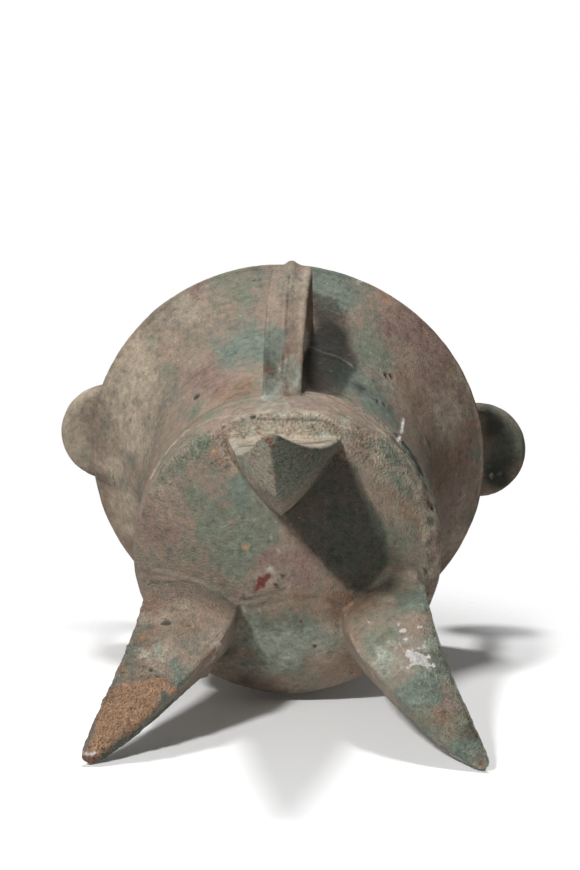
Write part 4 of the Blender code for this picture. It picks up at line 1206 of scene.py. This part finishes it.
def bronze():
    """The metal's mottle, the patches of patina, painted shade and painted highlights over it in order, then
    its marks, grain and fine bumps.
    """
    g = Graph("bronze_patina_with_painted_shade")
    broad = g.noise(48, 5, 0.60, 0.5)
    middle = g.noise(190, 5, 0.62, 0.3, 5.1)
    small = g.noise(430, 4, 0.62, 0.0, 9.3)
    grain = g.noise(1300, 3, 0.7, 0.0, 2.2)
    coarse = g.field("coarse")
    streaks = g.times(g.stretched((100, 100, 800), 0.0, 4.0), g.field("turned"))
    leg_grain = g.times(g.stretched((1000, 1000, 100), LEG_GRAIN_LEAN, 3.0), g.field("front_leg"))
    specks = g.times(g.step(g.cells(800), 0.26, 0.12, 0, 0.6), g.step(small, 0.5, 0.60))
    crust_pits = g.times(g.step(g.cells(760), 0.34, 0.16), g.step(middle, 0.44, 0.58))
    crust_pits = g.times(crust_pits, g.field("crusty"))
    fine = g.plus(g.plus(g.times(middle, 0.45), small, 0.55), streaks, 0.3)
    mottle = g.plus(g.times(middle, 0.45), broad, 0.55)

    colour = g.mix(g.step(mottle, 0.42, 0.58), tone("917f70"), tone("757366"))
    colour = g.mix(g.step(fine, 0.46, 0.60, 0, 0.5), colour, tone("83685b"))
    for index, (name, hue, scale, share, fine_share, threshold, softness, opacity) in enumerate(LAYERS):
        own = g.noise(scale, 5, 0.68, 0.4, 3.7 * index + 1.3)
        noisy = g.plus(g.field(name), g.centred(own), share)
        noisy = g.plus(noisy, g.centred(fine), fine_share)
        layer = g.step(noisy, threshold - softness / 2, threshold + softness / 2, 0, opacity)
        colour = g.mix(layer, colour, tone(hue))
        # After grey, the dim field darkens the colour: painted shade, partly darker patina
        if name == "grey":
            colour = g.mix(g.step(g.field("dim"), 0.1, 1.0, 0, 0.78), colour, tone("1c2322"))
    # Marks over the patina: the bowl's inside, pits, crust pits, then dark, light and near white lines, which
    # hold painted shade in grooves and painted light and highlights on a ledge and edges
    for mark, share, hue in (
        (g.field("inner_side"), 0.6, "4c4a40"), (g.field("pitted"), 0.22, "39352e"),
        (crust_pits, 0.75, "4d382b"), (g.field("dark_line"), 0.8, "30302a"),
        (g.field("light_line"), 0.8, "b3a698"), (g.field("bright_line"), 1.0, "dcd8d0"),
    ):
        colour = g.mix(g.times(mark, share), colour, tone(hue))

    uneven = g.times(g.centred(small), 2.1)
    for part, share in (
        (g.centred(grain), g.step(coarse, 0.55, 1.0, 0.9, 2.4)), (g.centred(middle), 1.5), (streaks, 0.45),
        (leg_grain, 2.2), (specks, -0.8),
    ):
        uneven = g.plus(uneven, part, share)
    strong = g.plus(0.72, coarse, 0.42)
    brightness = g.plus(g.plus(0.98, coarse, 0.47), uneven, strong)
    g.set(g.shader.inputs["Base Color"], g.scaled(colour, brightness))
    glint = g.field("glint")
    g.set(g.shader.inputs["Roughness"], g.plus(g.step(middle, 0.3, 0.7, 0.56, 0.78), glint, -0.28))
    g.set(g.shader.inputs["Metallic"], 0.0)
    g.set(g.shader.inputs["Specular IOR Level"], g.plus(0.22, glint, 0.5))

    bumps = g.times(small, 0.42)
    for part, share in (
        (grain, 0.5), (specks, -0.4), (crust_pits, -0.6), (g.cells(1000), g.times(coarse, 0.5)),
        (grain, g.times(coarse, 0.75)),
    ):
        bumps = g.plus(bumps, part, share)
    bumps = g.times(bumps, g.plus(0.40, coarse, 1.2))
    bumps = g.plus(g.plus(bumps, streaks, 0.25), leg_grain, 1.0)
    bump = g.nodes.new("ShaderNodeBump")
    g.set(bump.inputs["Strength"], 1.0)
    g.set(bump.inputs["Distance"], BUMP_DEPTH)
    g.set(bump.inputs["Height"], bumps)
    g.set(g.shader.inputs["Normal"], bump.outputs["Normal"])
    return g.material


body.data.materials.clear()
body.data.materials.append(bronze())
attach(body, "root")
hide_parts("jia_vessel")

# Paper that the vessel lies on in the photograph: it touches two feet and the rim
LAID_NORMAL = Vector((0.0281, -0.97744, 0.20933))
LAID_OFFSET = -0.04952
LAID_CENTRE, LAID_REACH = (0.02, 0.06), (0.13, 0.235)
X_AXIS, Z_AXIS = Vector((1, 0, 0)), Vector((0, 0, 1))
UPRIGHT_DEPTH = 0.0002

# Lights: name, direction from the vessel's middle, distance, size, power
NEAR_LIGHTS = (
    ("key", (-0.36, -0.74, -0.57), 1.5, 0.17, 19.5),
    ("overhead", (-0.03, -0.905, 0.425), 1.5, 0.26, 15.2),
)
FAR_LIGHTS = (
    ("above", (0.35, 0.35, 0.86), 1.6, 0.9, 12),
    ("rear", (-0.60, 0.75, 0.30), 1.6, 0.9, 8),
)
VESSEL_MIDDLE = Vector((0, 0, 0.10))
WORLD_STRENGTH, WHITE_STRENGTH = 0.185, 1.0
SENSOR_HEIGHT = 36


def paper(name, colour, centre, reach, start, end):
    """Pale paper that fades out away from a centre in its own frame, and can't be seen from behind."""
    g = Graph(name)
    g.set(g.shader.inputs["Base Color"], colour)
    g.set(g.shader.inputs["Roughness"], 0.9)
    mapping = g.nodes.new("ShaderNodeMapping")
    g.set(mapping.inputs["Location"], (-centre[0] / reach[0], -centre[1] / reach[1], 0))
    g.set(mapping.inputs["Scale"], (1 / reach[0], 1 / reach[1], 0))
    g.set(mapping.inputs["Vector"], g.place)
    length = g.nodes.new("ShaderNodeVectorMath")
    length.operation = "LENGTH"
    g.set(length.inputs[0], mapping.outputs["Vector"])
    back = g.nodes.new("ShaderNodeNewGeometry").outputs["Backfacing"]
    clear = g.nodes.new("ShaderNodeBsdfTransparent")
    mixed = g.nodes.new("ShaderNodeMixShader")
    g.set(mixed.inputs[0], g.math("MAXIMUM", g.step(length.outputs["Value"], start, end), back))
    g.set(mixed.inputs[1], g.shader.outputs[0])
    g.set(mixed.inputs[2], clear.outputs[0])
    g.set(g.nodes["Material Output"].inputs["Surface"], mixed.outputs[0])
    return g.material


def placed(obj, right, up, back, origin):
    obj.matrix_world = Matrix((*zip(right, up, back, origin), (0, 0, 0, 1)))


def floor(name, origin, normal, half, material):
    """A square of floor whose own X runs along the frame's X as far as it can, and whose Z is its normal."""
    mesh = bpy.data.meshes.new(name)
    corners = [(-half, -half, 0), (half, -half, 0), (half, half, 0), (-half, half, 0)]
    mesh.from_pydata(corners, [], [(0, 1, 2, 3)])
    mesh.materials.append(material)
    obj = linked(name, mesh)
    along = (X_AXIS - normal * X_AXIS.dot(normal)).normalized()
    placed(obj, along, normal.cross(along), normal, origin)
    return obj


def add_floors():
    laid_paper = paper("laid_paper", tone("f7f7f7"), LAID_CENTRE, LAID_REACH, 0.78, 1.22)
    floor("laid_floor", LAID_NORMAL * LAID_OFFSET, LAID_NORMAL, 0.5, laid_paper)
    upright_paper = paper("upright_paper", tone("ececec"), (0, 0), (1, 1), 0.5, 1.6)
    upright = floor("upright_floor", Vector((0, 0, -UPRIGHT_DEPTH)), Z_AXIS, 2.0, upright_paper)
    upright.visible_shadow = False
    upright.visible_diffuse = False
    upright.visible_glossy = False
    upright.visible_transmission = False


def area_light(name, direction, distance, size, power):
    """A round soft light that stands that way from the vessel's middle and faces it."""
    data = bpy.data.lights.new(name, "AREA")
    data.shape = "DISK"
    data.size = size
    data.energy = power
    towards = Vector(direction).normalized()
    obj = linked(name, data)
    obj.location = VESSEL_MIDDLE + towards * distance
    obj.rotation_mode = "QUATERNION"
    obj.rotation_quaternion = towards.to_track_quat("Z", "Y")
    return obj


def add_lights():
    for light in NEAR_LIGHTS:
        area_light(*light)
    for light in FAR_LIGHTS:
        area_light(*light).visible_glossy = False


def add_world():
    """Dim even light all round, which the camera sees as white."""
    world = bpy.data.worlds.new("studio")
    scene.world = world
    world.use_nodes = True
    nodes, links = world.node_tree.nodes, world.node_tree.links
    dim, white = nodes["Background"], nodes.new("ShaderNodeBackground")
    for background, strength in ((dim, WORLD_STRENGTH), (white, WHITE_STRENGTH)):
        background.inputs["Color"].default_value = (1, 1, 1, 1)
        background.inputs["Strength"].default_value = strength
    mixed = nodes.new("ShaderNodeMixShader")
    links.new(nodes.new("ShaderNodeLightPath").outputs["Is Camera Ray"], mixed.inputs[0])
    links.new(dim.outputs[0], mixed.inputs[1])
    links.new(white.outputs[0], mixed.inputs[2])
    links.new(mixed.outputs[0], nodes["World Output"].inputs["Surface"])


def add_camera():
    data = bpy.data.cameras.new("camera")
    data.sensor_fit = "VERTICAL"
    data.sensor_height = SENSOR_HEIGHT
    data.lens = SENSOR_HEIGHT * FOCAL_PIXELS / PHOTO_HEIGHT
    data.clip_start = 0.05
    data.clip_end = 20
    camera = linked("camera", data)
    right, up, forward = camera_axes()
    placed(camera, right, up, -forward, CAMERA_PLACE)
    scene.camera = camera


scene = bpy.context.scene
scene.view_settings.view_transform = "Standard"
scene.view_settings.look = "None"
add_floors()
add_lights()
add_world()
add_camera()
